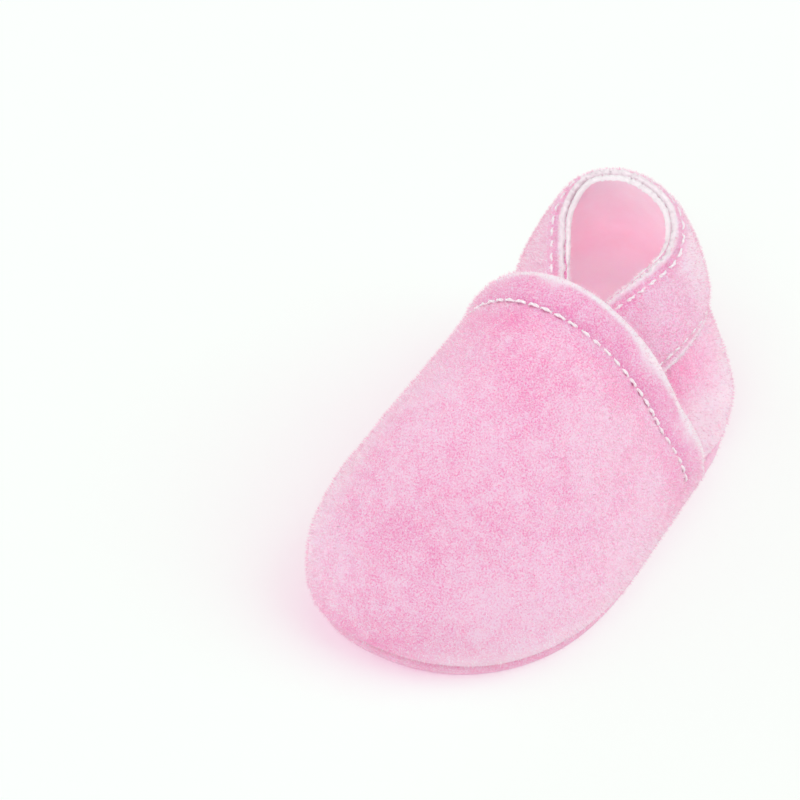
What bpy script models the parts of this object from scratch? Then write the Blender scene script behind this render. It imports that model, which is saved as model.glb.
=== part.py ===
"""Baby bootie, left foot: a soft suede slipper with an elastic ankle band.

The bootie is sewn from four suede pieces. A sole curls up to a crease all round. A vamp covers the
toes and ends in a folded hem at the throat. A quarter wraps the heel, tucks under the vamp at both
sides and rises to the rim. A casing strip is sewn round the outside of the rim and holds the ankle
elastic. A padded insole lies on the sole.

Frame: metres, +Z up, toes towards -Y, heel towards +Y, +X to the wearer's right. The origin is on the
flat underside of the sole, midway between toe and heel. The surfaces are first laid out about the
straight line x = 0 and then bent with the foot by bend_sideways.
"""
import math

import bmesh
import bpy
import numpy as np

MM = 0.001

# Sole plan
SOLE_LENGTH = 116 * MM
BALL_HALF_WIDTH = 30.5 * MM
HEEL_HALF_WIDTH = 28.5 * MM
WAIST_INSET = 0.7 * MM
TOE_CAP_LENGTH = 35 * MM
HEEL_CAP_LENGTH = 29 * MM
TOE_SQUARENESS = 2.3
HEEL_SQUARENESS = 2.05
SIDEWAYS_BEND = -5.5 * MM
BEND_BALANCE = 0.33

# Sheets and clearances
SUEDE = 1.3 * MM
SOLE_THICKNESS = 1.4 * MM
GAP = 0.3 * MM
ELASTIC_THICKNESS = 0.8 * MM
THREAD_RADIUS = 0.3 * MM
SEAM_THREAD_RADIUS = 0.35 * MM

# Sole edge and seam
SOLE_CURL_RADIUS = 1.0 * MM
SOLE_FOLD_RADIUS = 0.8 * MM
SOLE_RIM_UPRIGHT = 0.3 * MM
SOLE_RIM_HEIGHT = SOLE_THICKNESS + SOLE_CURL_RADIUS + SOLE_RIM_UPRIGHT + SOLE_FOLD_RADIUS
SEAM_ALLOWANCE = 5.0 * MM
FLANGE_FOLD = 0.9 * MM
FLANGE_KNEE_INSET = 0.3
FLANGE_KNEE_RISE = 0.4
FLANGE_MIDDLE = 0.4

# Insole
INSOLE_THICKNESS = SOLE_RIM_HEIGHT - SOLE_THICKNESS
INSOLE_EDGE_RADIUS = 0.9 * MM
INSOLE_EDGE_ANGLE = math.radians(50)

# Vamp
THROAT_HEIGHT = 59 * MM
BALL_DROP = 9.5 * MM
DROP_POWER = 1.3
THROAT_CENTRE_Y = 7.0 * MM
THROAT_SIDE_Y = 21.0 * MM
DOME_ROUNDNESS = 2.0
DOME_BULGE = 2.3 * MM
BULGE_HEIGHT = 22 * MM
BULGE_LOWNESS = 0.75
HEM_DEPTH = 10.5 * MM
HEM_ROLL_RADIUS = 1.05 * MM
HEM_STITCH_INSET = 7.4 * MM
HEM_END_TAPER = 0.08

# Quarter and ankle band
QUARTER_FRONT_Y = 9 * MM
TUCK_END_Y = THROAT_SIDE_Y + HEM_ROLL_RADIUS + SUEDE
TUCK_FADE = 17 * MM
FOOT_TUCK = SUEDE + GAP + 0.5 * MM
WAIST_TUCK = 2 * HEM_ROLL_RADIUS + SUEDE + 2 * GAP + 1.0 * MM - DOME_BULGE
SEAM_THREAD_INSET = FOOT_TUCK + SUEDE + 2 * GAP + SEAM_THREAD_RADIUS
WAIST_HEIGHT = 16 * MM
HEEL_BULGE = 1.9 * MM
BAND_WIDTH = 19.5 * MM
ELASTIC_WIDTH = 12 * MM
TOP_STITCH_DROP = 2.4 * MM
BOTTOM_STITCH_DROP = 17.1 * MM
STITCH_LENGTH = 3.2 * MM
COLLAR_HEIGHT = 59.5 * MM

# Shares of the casing's free edge that lie flat and that rise over the elastic
CASING_FLAT_EDGE = 0.35
CASING_RISE = 0.5

# How far the threads reach towards the sheets' ends, as shares of half their width
THROAT_THREAD_REACH = 0.9
BAND_THREAD_REACH = 0.99

# Shape of the band's lower edge and of the rim, from the tucked front end to the centre of the heel:
# shares of the heel's half width, of half the sole's length and of the height at that place
BAND_SHAPE = [
    (0.55, 0.155, 0.515), (0.63, 0.310, 0.538), (0.70, 0.500, 0.556),
    (0.68, 0.705, 0.600), (0.42, 0.845, 0.670), (0.0, 0.890, 0.710)]
RIM_SHAPE = [
    (0.09, 0.180, 0.730), (0.155, 0.335, 0.758), (0.315, 0.500, 0.808),
    (0.43, 0.645, 0.865), (0.33, 0.745, 0.957), (0.0, 0.775, 1.0)]

# Mesh fineness
VAMP_ACROSS = 28
VAMP_SIDE_ROWS = 9
VAMP_TOE_ROWS = 10
FOLD_ROWS = 3
RETURN_ROWS = 3
QUARTER_ACROSS = 48
QUARTER_ROWS = 10
OUTLINE_POINTS = 72
CURL_TURNS = (30, 60, 90)
SOLE_FOLD_TURNS = (0, 45, 90)

# Sampling of the smooth curves
CAP_SAMPLES = 90
SIDE_SAMPLES = 60
WALL_SAMPLES = 60
THREAD_SAMPLES = 240
DOME_STEP = 0.004
HEM_SAMPLE = 0.1
PLACE_STEP = 1e-3
OUTLINE_STEP = 1e-4

COLLECTION_NAME = "baby_bootie"
SUEDE_PINK = (0.905, 0.545, 0.690, 1.0)
SUEDE_DEEP_PINK = (0.870, 0.380, 0.560, 1.0)
THREAD_WHITE = (0.930, 0.850, 0.885, 1.0)
ELASTIC_WHITE = (0.860, 0.840, 0.840, 1.0)
FLEECE_PINK = (0.920, 0.640, 0.760, 1.0)
SUEDE_ROUGHNESS = 0.95
FLEECE_ROUGHNESS = 1.0
ELASTIC_ROUGHNESS = 0.8
THREAD_ROUGHNESS = 0.6


def smooth_step(value):
    """Ease from 0 to 1 with level ends."""
    clipped = np.clip(value, 0.0, 1.0)
    return clipped * clipped * (3.0 - 2.0 * clipped)


def unit(vectors):
    """Scale vectors along the last axis to length 1."""
    length = np.linalg.norm(vectors, axis=-1, keepdims=True)
    return vectors / np.maximum(length, 1e-12)


def bend_sideways(points):
    """Bend the straight layout to the foot's curve, towards -X at toe and heel."""
    bent = np.array(points, dtype=float)
    share = bent[..., 1] / (SOLE_LENGTH / 2)
    bent[..., 0] += SIDEWAYS_BEND * (share * share - BEND_BALANCE)
    return bent


# ---------------------------------------------------------------- sole outline

def ball_y():
    """Where the toe cap begins."""
    return -SOLE_LENGTH / 2 + TOE_CAP_LENGTH


def heel_cap_y():
    """Where the heel cap begins."""
    return SOLE_LENGTH / 2 - HEEL_CAP_LENGTH


def half_width(y):
    """Half width of the outline along its straight part."""
    travel = np.clip((y - ball_y()) / (heel_cap_y() - ball_y()), 0.0, 1.0)
    waist = WAIST_INSET * np.sin(math.pi * travel) ** 2
    return BALL_HALF_WIDTH + (HEEL_HALF_WIDTH - BALL_HALF_WIDTH) * smooth_step(travel) - waist


def cap_point(angle, half, length, squareness):
    """Point of a round end cap, from its side at angle 0 to its tip at a quarter turn."""
    cosine = np.cos(angle)
    sine = np.sin(angle)
    radius = (np.abs(cosine) ** squareness + np.abs(sine) ** squareness) ** (-1.0 / squareness)
    return half * radius * cosine, length * radius * sine


def side_outline():
    """Dense outline of the +X side, from the toe tip to the heel tip."""
    angles = np.linspace(math.pi / 2, 0.0, CAP_SAMPLES)
    toe_x, toe_y = cap_point(angles, BALL_HALF_WIDTH, TOE_CAP_LENGTH, TOE_SQUARENESS)
    side_y = np.linspace(ball_y(), heel_cap_y(), SIDE_SAMPLES)[1:-1]
    heel_x, heel_y = cap_point(angles[::-1], HEEL_HALF_WIDTH, HEEL_CAP_LENGTH, HEEL_SQUARENESS)
    toe = np.column_stack([toe_x, ball_y() - toe_y])
    side = np.column_stack([half_width(side_y), side_y])
    heel = np.column_stack([heel_x, heel_cap_y() + heel_y])
    return np.vstack([toe, side, heel])


def resample(points, fractions):
    """Points of a polyline at the given fractions of its length."""
    steps = np.linalg.norm(np.diff(points, axis=0), axis=1)
    travel = np.concatenate([[0.0], np.cumsum(steps)])
    wanted = np.asarray(fractions) * travel[-1]
    columns = [np.interp(wanted, travel, points[:, axis]) for axis in range(points.shape[1])]
    return np.column_stack(columns)


def closed_outline(count):
    """Outline all round, evenly spaced, anticlockwise from the toe tip."""
    side = side_outline()
    mirrored = side[-2:0:-1] * [-1.0, 1.0]
    loop = np.vstack([side, mirrored, side[:1]])
    return resample(loop, np.arange(count) / count)


def inward_normals(points, closed):
    """Plan directions pointing into the sole, for outline points taken anticlockwise."""
    if closed:
        tangent = np.roll(points, -1, axis=0) - np.roll(points, 1, axis=0)
    else:
        tangent = np.gradient(points, axis=0)
    return unit(np.column_stack([-tangent[:, 1], tangent[:, 0]]))


def seam_section(height, thickness, fold):
    """Section of a wall's foot as (inset, height) pairs: it turns in over the seam and ends level."""
    level = height + thickness / 2
    half = thickness / 2
    return [
        (half + FLANGE_KNEE_INSET * fold, level + FLANGE_KNEE_RISE * fold),
        (half + fold, level),
        (half + fold + FLANGE_MIDDLE * (SEAM_ALLOWANCE - fold), level),
        (half + SEAM_ALLOWANCE, level),
    ]


def vamp_flange_height():
    """Underside of the vamp's and quarter's seam allowance."""
    return SOLE_RIM_HEIGHT + GAP


def wall_foot_height():
    """Height at which the sheets stop folding and stand up."""
    return vamp_flange_height() + SUEDE / 2 + FLANGE_FOLD


# ---------------------------------------------------------------- vamp

def dome_height(y):
    """Ridge height of the vamp's dome at y, falling from the throat to the toes."""
    travel = (THROAT_CENTRE_Y - y) / (THROAT_CENTRE_Y - ball_y())
    return THROAT_HEIGHT - BALL_DROP * np.sign(travel) * np.abs(travel) ** DROP_POWER


def raise_dome(centre, foot, rise_angle):
    """Lift a plan line from centre to foot into the dome's rounded section."""
    base = wall_foot_height()
    inset_foot = foot - unit(foot - centre) * SUEDE / 2
    reach = np.cos(rise_angle) ** (2.0 / DOME_ROUNDNESS)
    lift = np.sin(rise_angle) ** (2.0 / DOME_ROUNDNESS)
    plan = centre + reach[..., None] * (inset_foot - centre)
    height = base + (dome_height(plan[..., 1]) - base) * lift
    swell_share = np.clip((height - base) / BULGE_HEIGHT, 0.0, 1.0)
    swell = DOME_BULGE * np.sin(math.pi * swell_share ** BULGE_LOWNESS)
    plan = plan + unit(foot - centre) * swell[..., None]
    return np.concatenate([plan, height[..., None]], axis=-1)


def throat_y(across):
    """The throat edge's y: forward at the centre, back at both sides."""
    rise = np.sin((1.0 - np.abs(across)) * math.pi / 2)
    return THROAT_SIDE_Y + (THROAT_CENTRE_Y - THROAT_SIDE_Y) * rise


def dome_side(across, share):
    """Dome between the throat (share 0) and the ball (share 1)."""
    angle = (1.0 - np.abs(across)) * math.pi / 2
    y = throat_y(across) + (ball_y() - throat_y(across)) * share
    centre = np.stack([np.zeros_like(y), y], axis=-1)
    side = np.where(across < 0, -1.0, 1.0)
    foot = np.stack([side * half_width(y), y], axis=-1)
    return raise_dome(centre, foot, angle)


def dome_toe(across, share):
    """Dome over the toes, from the ball (share 0) to the tip (share 1), as a square eased to a disc."""
    plan_x = across * np.sqrt(1.0 - share * share / 2)
    plan_y = share * np.sqrt(1.0 - across * across / 2)
    radius = np.clip(np.hypot(plan_x, plan_y), 0.0, 1.0)
    angle = (1.0 - radius) * math.pi / 2
    direction = np.arctan2(plan_y, np.abs(plan_x))
    cap_x, cap_y = cap_point(direction, BALL_HALF_WIDTH, TOE_CAP_LENGTH, TOE_SQUARENESS)
    side = np.where(across < 0, -1.0, 1.0)
    foot = np.stack([side * cap_x, ball_y() - cap_y], axis=-1)
    centre = np.stack([np.zeros_like(cap_x), np.full_like(cap_x, ball_y())], axis=-1)
    return raise_dome(centre, foot, angle)


def dome_point(across, travel):
    """Middle of the vamp's sheet: travel runs 0 to 1 from throat to ball and 1 to 2 to the tip."""
    across = np.asarray(across, dtype=float)
    travel = np.asarray(travel, dtype=float) + np.zeros_like(across)
    side = dome_side(across, np.minimum(travel, 1.0))
    toe = dome_toe(across, np.clip(travel - 1.0, 0.0, 1.0))
    return np.where((travel <= 1.0)[..., None], side, toe)


def dome_frame(across, travel):
    """Unit outward normal of the dome and unit direction towards the throat."""
    along = dome_point(across, travel + DOME_STEP) - dome_point(across, travel)
    left = np.clip(np.asarray(across, dtype=float) - DOME_STEP, -1.0, 1.0)
    right = np.clip(np.asarray(across, dtype=float) + DOME_STEP, -1.0, 1.0)
    crosswise = dome_point(right, travel) - dome_point(left, travel)
    outward = unit(np.cross(along, crosswise))
    return outward, -unit(along)


def hem_travel(across, distance):
    """Travel value at a distance in metres below the throat edge."""
    sample = dome_point(across, HEM_SAMPLE) - dome_point(across, 0.0)
    return distance * HEM_SAMPLE / np.linalg.norm(sample, axis=-1)


def hem_spread(distance):
    """Spacing of the hem's two layers, wide at the roll and close at the stitching."""
    closed = SUEDE + GAP
    share = smooth_step(distance / HEM_STITCH_INSET)
    return 2 * HEM_ROLL_RADIUS + (closed - 2 * HEM_ROLL_RADIUS) * share


def vamp_row(row, across):
    """A row of the vamp's sheet: the folded-under hem, the roll, and then the dome to the toe tip."""
    narrowed = across * (1.0 - HEM_END_TAPER)
    if row < RETURN_ROWS:
        distance = HEM_DEPTH * (RETURN_ROWS - row) / RETURN_ROWS
        travel = hem_travel(narrowed, distance)
        outward, _ = dome_frame(narrowed, travel)
        return dome_point(narrowed, travel) - outward * hem_spread(distance)
    if row < RETURN_ROWS + FOLD_ROWS:
        turn = math.pi * (1.0 - (row - RETURN_ROWS) / FOLD_ROWS)
        place = across * (1.0 - HEM_END_TAPER * turn / math.pi)
        outward, rearward = dome_frame(place, 0.0)
        roll = rearward * math.sin(turn) - outward * (1.0 - math.cos(turn))
        return dome_point(place, 0.0) + roll * HEM_ROLL_RADIUS
    main_row = row - RETURN_ROWS - FOLD_ROWS
    if main_row <= VAMP_SIDE_ROWS:
        return dome_point(across, main_row / VAMP_SIDE_ROWS)
    return dome_point(across, 1.0 + (main_row - VAMP_SIDE_ROWS) / VAMP_TOE_ROWS)


def vamp_surface():
    """Rows of the vamp's sheet in the straight layout."""
    across = np.linspace(-1.0, 1.0, VAMP_ACROSS + 1)
    rows = RETURN_ROWS + FOLD_ROWS + VAMP_SIDE_ROWS + VAMP_TOE_ROWS + 1
    return np.array([vamp_row(row, across) for row in range(rows)])


# ---------------------------------------------------------------- quarter and band

def shape_line(shape):
    """Points of a shape line: heights follow the throat in front and the collar at the heel."""
    points = []
    for index, (across, along, rise) in enumerate(shape):
        rear = index / (len(shape) - 1)
        height = THROAT_HEIGHT * (1.0 - rear) + COLLAR_HEIGHT * rear
        points.append((across * HEEL_HALF_WIDTH, along * SOLE_LENGTH / 2, rise * height))
    return np.array(points)


def spline_through(points, place):
    """Smooth curve through points mirrored in x: place runs -1 to 1, and 0 is the last point."""
    mirrored = points[-2::-1] * [-1.0, 1.0, 1.0]
    knots = np.vstack([points, mirrored])
    first = 2 * knots[0] - knots[1]
    last = 2 * knots[-1] - knots[-2]
    knots = np.vstack([first, knots, last])
    spans = len(knots) - 3
    position = np.clip((np.asarray(place) + 1) / 2 * spans, 0.0, spans - 1e-9)
    index = position.astype(int)
    local = (position - index)[..., None]
    before, start, end, after = (knots[index + shift] for shift in range(4))
    cubic = -before + 3 * start - 3 * end + after
    square = 2 * before - 5 * start + 4 * end - after
    return 0.5 * (2 * start + (end - before) * local + square * local ** 2 + cubic * local ** 3)


def quarter_outline(place):
    """Outline point and inward normal under the quarter: place -1 to 1 from one front end to the other."""
    side = side_outline()
    rear = side[side[:, 1] >= QUARTER_FRONT_Y]
    loop = np.vstack([rear, rear[-2::-1] * [-1.0, 1.0]])
    share = (np.asarray(place) + 1) / 2
    points = resample(loop, share)
    ahead = resample(loop, np.clip(share + OUTLINE_STEP, 0, 1))
    behind = resample(loop, np.clip(share - OUTLINE_STEP, 0, 1))
    tangent = unit(ahead - behind)
    return points, np.column_stack([-tangent[:, 1], tangent[:, 0]])


def tuck_share(y):
    """1 where the quarter runs under the vamp, easing to 0 behind the hem's ends."""
    return 1.0 - smooth_step((y - TUCK_END_Y) / TUCK_FADE)


def quarter_foot(place):
    """Outer face of the quarter where it stands up from its seam allowance."""
    points, inward = quarter_outline(place)
    share = tuck_share(points[:, 1])[:, None]
    plan = points + inward * FOOT_TUCK * share
    height = wall_foot_height() + (SUEDE + GAP) * share
    return np.hstack([plan, height]), inward


def quarter_waist(place):
    """Outer face of the quarter at its widest, just above the seam."""
    points, inward = quarter_outline(place)
    share = tuck_share(points[:, 1])[:, None]
    plan = points + inward * (WAIST_TUCK * share - HEEL_BULGE * (1.0 - share))
    return np.hstack([plan, np.full_like(share, WAIST_HEIGHT)])


def upright(place, share):
    """Outer face of the quarter: share 0 at the foot, 1 at the rim."""
    levels = [quarter_foot(place)[0], quarter_waist(place)]
    levels += [spline_through(shape_line(BAND_SHAPE), place), spline_through(shape_line(RIM_SHAPE), place)]
    spans = [np.linalg.norm(high - low, axis=-1) for low, high in zip(levels, levels[1:])]
    travel = np.cumsum([np.zeros_like(spans[0])] + spans, axis=0)
    wanted = np.asarray(share) * travel[-1]
    return cubic_levels(np.array(levels), travel, wanted)


def cubic_levels(levels, travel, wanted):
    """Hermite curve through four level points at their travelled lengths."""
    slopes = [(levels[1] - levels[0]) / (travel[1] - travel[0])[:, None]]
    for index in (1, 2):
        slopes.append((levels[index + 1] - levels[index - 1])
                      / (travel[index + 1] - travel[index - 1])[:, None])
    slopes.append((levels[3] - levels[2]) / (travel[3] - travel[2])[:, None])
    slopes[0] = 1.5 * slopes[0] - 0.5 * slopes[1]
    slopes[3] = 1.5 * slopes[3] - 0.5 * slopes[2]
    result = np.zeros_like(levels[0])
    for index in range(3):
        span = travel[index + 1] - travel[index]
        local = (wanted - travel[index]) / span
        inside = (local >= 0) & (local <= 1) if index else local <= 1
        local = local[:, None]
        span = span[:, None]
        curve = (levels[index] * (2 * local ** 3 - 3 * local ** 2 + 1)
                 + slopes[index] * span * (local ** 3 - 2 * local ** 2 + local)
                 + levels[index + 1] * (3 * local ** 2 - 2 * local ** 3)
                 + slopes[index + 1] * span * (local ** 3 - local ** 2))
        result[inside] = curve[inside]
    return result


def wall_point(place, share, lift):
    """Point at a lift outside the quarter's outer face."""
    place = np.asarray(place, dtype=float)
    share = np.asarray(share, dtype=float) + np.zeros_like(place)
    ahead = np.clip(place + PLACE_STEP, -1, 1)
    behind = np.clip(place - PLACE_STEP, -1, 1)
    high = np.minimum(share + PLACE_STEP, 1.0)
    low = np.maximum(share - PLACE_STEP, 0.0)
    along = upright(ahead, share) - upright(behind, share)
    rising = upright(place, high) - upright(place, low)
    outward = unit(np.cross(along, rising))
    return upright(place, share) + outward * np.asarray(lift)[..., None]


def share_below_rim(place, drop):
    """Share of the wall's height at a distance down the surface from the rim."""
    samples = np.linspace(1.0, 0.0, WALL_SAMPLES)
    curve = np.array([upright(place, np.full_like(place, value)) for value in samples])
    steps = np.linalg.norm(np.diff(curve, axis=0), axis=-1)
    travel = np.vstack([np.zeros(len(place)), np.cumsum(steps, axis=0)])
    return np.array([np.interp(drop, travel[:, column], samples) for column in range(len(place))])


def casing_lift(drop):
    """Middle of the casing above the quarter: raised over the elastic, close to it at both edges."""
    low = GAP + SUEDE / 2
    high = GAP + ELASTIC_THICKNESS + GAP + SUEDE / 2
    edge = (BAND_WIDTH - ELASTIC_WIDTH) / 2
    nearest = min(drop, BAND_WIDTH - drop)
    return low + (high - low) * float(smooth_step((nearest / edge - CASING_FLAT_EDGE) / CASING_RISE))


def band_rows(drops, lifts, places):
    """Rows of points round the band at the given drops below the rim."""
    rows = []
    for drop, lift in zip(drops, lifts):
        share = share_below_rim(places, drop)
        rows.append(wall_point(places, share, np.full_like(places, lift)))
    return np.array(rows)


# ---------------------------------------------------------------- Blender objects

def clear_scene():
    """Empty the file."""
    for item in list(bpy.data.objects):
        bpy.data.objects.remove(item, do_unlink=True)


def part_collection():
    """Collection that holds the bootie."""
    collection = bpy.data.collections.new(COLLECTION_NAME)
    bpy.context.scene.collection.children.link(collection)
    return collection


def make_material(name, colour, roughness):
    """Plain material of one colour."""
    material = bpy.data.materials.new(name)
    material.use_nodes = True
    shader = material.node_tree.nodes["Principled BSDF"]
    shader.inputs["Base Color"].default_value = colour
    shader.inputs["Roughness"].default_value = roughness
    shader.inputs["Metallic"].default_value = 0.0
    return material


def add_object(name, data, collection, material):
    """Link an object that shows the data."""
    item = bpy.data.objects.new(name, data)
    collection.objects.link(item)
    data.materials.append(material)
    return item


def finish_mesh(name, mesh_builder, collection, material):
    """Turn a builder into a smooth object."""
    mesh = bpy.data.meshes.new(name)
    mesh_builder.to_mesh(mesh)
    mesh_builder.free()
    mesh.shade_smooth()
    return add_object(name, mesh, collection, material)


def thicken(item, thickness):
    """Give a sheet its thickness, half to each side of the modelled middle."""
    solid = item.modifiers.new("Thickness", "SOLIDIFY")
    solid.thickness = thickness
    solid.offset = 0.0
    solid.use_even_offset = True
    solid.use_quality_normals = True
    solid.use_rim = True


def grid_sheet(rows):
    """A grid whose vertices are placed on the given rows of points."""
    builder = bmesh.new()
    along, across = rows.shape[:2]
    bmesh.ops.create_grid(builder, x_segments=across - 1, y_segments=along - 1, size=1.0)
    lookup = {}
    for vertex in builder.verts:
        column = round((vertex.co.x + 1) / 2 * (across - 1))
        row = round((vertex.co.y + 1) / 2 * (along - 1))
        lookup[row, column] = vertex
    for (row, column), vertex in lookup.items():
        vertex.co = rows[row, column]
    return builder, lookup


def extend_edge(builder, vertices, plan_points, inward, section, closed):
    """Draw a sheet's edge out through a section of (inset, height) pairs."""
    current = list(vertices)
    for inset, height in section:
        targets = [(plan_points[index] + inward[index] * inset, height) for index in range(len(current))]
        current = extrude_row(builder, current, targets, closed)


def extrude_row(builder, current, targets, closed):
    """Extrude one row of edges and place its new vertices."""
    pairs = list(zip(current, current[1:] + current[:1]))
    if not closed:
        pairs = pairs[:-1]
    edges = [builder.edges.get(pair) for pair in pairs]
    made = bmesh.ops.extrude_edge_only(builder, edges=edges)
    fresh = {item for item in made["geom"] if isinstance(item, bmesh.types.BMVert)}
    following = []
    for vertex, (plan, height) in zip(current, targets):
        partner = next(edge.other_vert(vertex) for edge in vertex.link_edges
                       if edge.other_vert(vertex) in fresh)
        partner.co = (plan[0], plan[1], height)
        following.append(partner)
    return following


def bend_builder(builder):
    """Bend a finished sheet with the foot."""
    for vertex in builder.verts:
        vertex.co = bend_sideways(np.array(vertex.co))


def arc_points(turns, inset, height, inset_radius, height_radius):
    """Points of an arc that starts upright and ends level, as (inset, height) pairs."""
    points = []
    for turn in turns:
        angle = math.radians(turn)
        drawn_in = inset + inset_radius * (1 - math.cos(angle))
        points.append((drawn_in, height + height_radius * math.sin(angle)))
    return points


def sole_section():
    """Section of the sole's edge: it curls up from the flat and folds in over the seam."""
    half = SOLE_THICKNESS / 2
    level = SOLE_RIM_HEIGHT - half
    curl_top = half + SOLE_CURL_RADIUS
    turns = [90 - turn for turn in CURL_TURNS]
    curl = arc_points(turns, half, curl_top, SOLE_CURL_RADIUS, -SOLE_CURL_RADIUS)
    fold = arc_points(SOLE_FOLD_TURNS, half, level - SOLE_FOLD_RADIUS, SOLE_FOLD_RADIUS, SOLE_FOLD_RADIUS)
    return curl + fold + [(half + SEAM_ALLOWANCE, level)]


def flat_outline(inset, height):
    """A filled outline lying flat at a height, drawn in by an inset; also its ring of vertices."""
    points = closed_outline(OUTLINE_POINTS)
    inward = inward_normals(points, closed=True)
    builder = bmesh.new()
    bmesh.ops.create_circle(builder, cap_ends=True, segments=OUTLINE_POINTS, radius=1.0)
    builder.verts.ensure_lookup_table()
    ring = list(builder.verts)
    for index, vertex in enumerate(ring):
        plan = points[index] + inward[index] * inset
        vertex.co = (plan[0], plan[1], height)
    return builder, ring


def make_sole(collection, material):
    """The sole, curled up and folded in at the seam all round."""
    points = closed_outline(OUTLINE_POINTS)
    inward = inward_normals(points, closed=True)
    half = SOLE_THICKNESS / 2
    builder, ring = flat_outline(half + SOLE_CURL_RADIUS, half)
    extend_edge(builder, ring, points, inward, sole_section(), closed=True)
    bend_builder(builder)
    item = finish_mesh("outsole", builder, collection, material)
    thicken(item, SOLE_THICKNESS)


def make_insole(collection, material):
    """The padded insole, lying inside the seam allowances."""
    inset = SOLE_THICKNESS / 2 + SEAM_ALLOWANCE + GAP
    builder, _ = flat_outline(inset, SOLE_THICKNESS + GAP + INSOLE_THICKNESS / 2)
    bend_builder(builder)
    item = finish_mesh("insole", builder, collection, material)
    thicken(item, INSOLE_THICKNESS)
    rounding = item.modifiers.new("Edge", "BEVEL")
    rounding.width = INSOLE_EDGE_RADIUS
    rounding.segments = 2
    rounding.limit_method = "ANGLE"
    rounding.angle_limit = INSOLE_EDGE_ANGLE


def make_vamp(collection, material):
    """The toe piece with its folded hem and its seam allowance."""
    rows = vamp_surface()
    builder, lookup = grid_sheet(rows)
    last_row = len(rows) - 1
    first_row = RETURN_ROWS + FOLD_ROWS
    edge = [lookup[row, 0] for row in range(first_row, last_row + 1)]
    edge += [lookup[last_row, column] for column in range(1, VAMP_ACROSS + 1)]
    edge += [lookup[row, VAMP_ACROSS] for row in range(last_row - 1, first_row - 1, -1)]
    plan = np.array([vertex.co[:2] for vertex in edge])
    inward = inward_normals(plan, closed=False)
    outline = plan - inward * SUEDE / 2
    section = seam_section(vamp_flange_height(), SUEDE, FLANGE_FOLD)
    extend_edge(builder, edge, outline, inward, section, closed=False)
    bend_builder(builder)
    item = finish_mesh("vamp", builder, collection, material)
    thicken(item, SUEDE)


def make_quarter(collection, material):
    """The heel piece, from its seam allowance to the rim."""
    places = np.linspace(-1.0, 1.0, QUARTER_ACROSS + 1)
    shares = np.linspace(0.0, 1.0, QUARTER_ROWS + 1)
    rows = [wall_point(places, share, np.full_like(places, -SUEDE / 2)) for share in shares]
    builder, lookup = grid_sheet(np.array(rows))
    edge = [lookup[0, column] for column in range(QUARTER_ACROSS + 1)]
    foot, inward = quarter_foot(places)
    rise = foot[:, 2] - wall_foot_height()
    section = seam_section(vamp_flange_height(), SUEDE, FLANGE_FOLD)
    current = edge
    for inset, height in section:
        targets = [(foot[index, :2] + inward[index] * inset, height + rise[index])
                   for index in range(len(current))]
        current = extrude_row(builder, current, targets, closed=False)
    bend_builder(builder)
    item = finish_mesh("heel_quarter", builder, collection, material)
    thicken(item, SUEDE)


def make_band(collection, material):
    """The casing strip round the outside of the rim."""
    places = np.linspace(-1.0, 1.0, QUARTER_ACROSS + 1)
    edge = (BAND_WIDTH - ELASTIC_WIDTH) / 2
    flat = CASING_FLAT_EDGE * edge
    raised = flat + CASING_RISE * edge
    drops = [0.0, flat, raised, BAND_WIDTH / 2, BAND_WIDTH - raised, BAND_WIDTH - flat, BAND_WIDTH]
    rows = band_rows(drops, [casing_lift(drop) for drop in drops], places)
    builder, _ = grid_sheet(rows)
    bend_builder(builder)
    item = finish_mesh("ankle_band", builder, collection, material)
    thicken(item, SUEDE)


def make_elastic(collection, material):
    """The ankle elastic inside the casing."""
    places = np.linspace(-1.0, 1.0, QUARTER_ACROSS + 1)
    middle = BAND_WIDTH / 2
    half = ELASTIC_WIDTH / 2 - GAP
    drops = [middle - half, middle, middle + half]
    lift = GAP + ELASTIC_THICKNESS / 2
    builder, _ = grid_sheet(band_rows(drops, [lift] * 3, places))
    bend_builder(builder)
    item = finish_mesh("ankle_elastic", builder, collection, material)
    thicken(item, ELASTIC_THICKNESS)


def make_thread(name, points, radius, closed, collection, material):
    """A sewing thread as a fine tube through the given points."""
    curve = bpy.data.curves.new(name, "CURVE")
    curve.dimensions = "3D"
    curve.bevel_depth = radius
    curve.bevel_resolution = 1
    curve.use_fill_caps = not closed
    spline = curve.splines.new("POLY")
    spline.points.add(len(points) - 1)
    for control, point in zip(spline.points, bend_sideways(points)):
        control.co = (*point, 1.0)
    spline.use_cyclic_u = closed
    add_object(name, curve, collection, material)


def stitch_lifts(count, base, rise):
    """Heights of a stitched thread: high in each stitch's middle, low at each needle hole."""
    return np.array([base + rise * (index % 2) for index in range(count)])


def make_throat_thread(collection, material):
    """The thread that holds the hem."""
    fine = np.linspace(-THROAT_THREAD_REACH, THROAT_THREAD_REACH, THREAD_SAMPLES)
    travel = hem_travel(fine, HEM_STITCH_INSET)
    length = np.linalg.norm(np.diff(dome_point(fine, travel), axis=0), axis=1).sum()
    count = 2 * round(length / STITCH_LENGTH) + 1
    line = resample(np.column_stack([dome_point(fine, travel), fine]), np.linspace(0, 1, count))
    across = line[:, 3]
    travel = hem_travel(across, HEM_STITCH_INSET)
    outward, _ = dome_frame(across, travel)
    lifts = stitch_lifts(count, SUEDE / 2 + GAP + THREAD_RADIUS, THREAD_RADIUS / 2)
    points = dome_point(across, travel) + outward * lifts[:, None]
    make_thread("throat_stitching", points, THREAD_RADIUS, False, collection, material)


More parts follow.
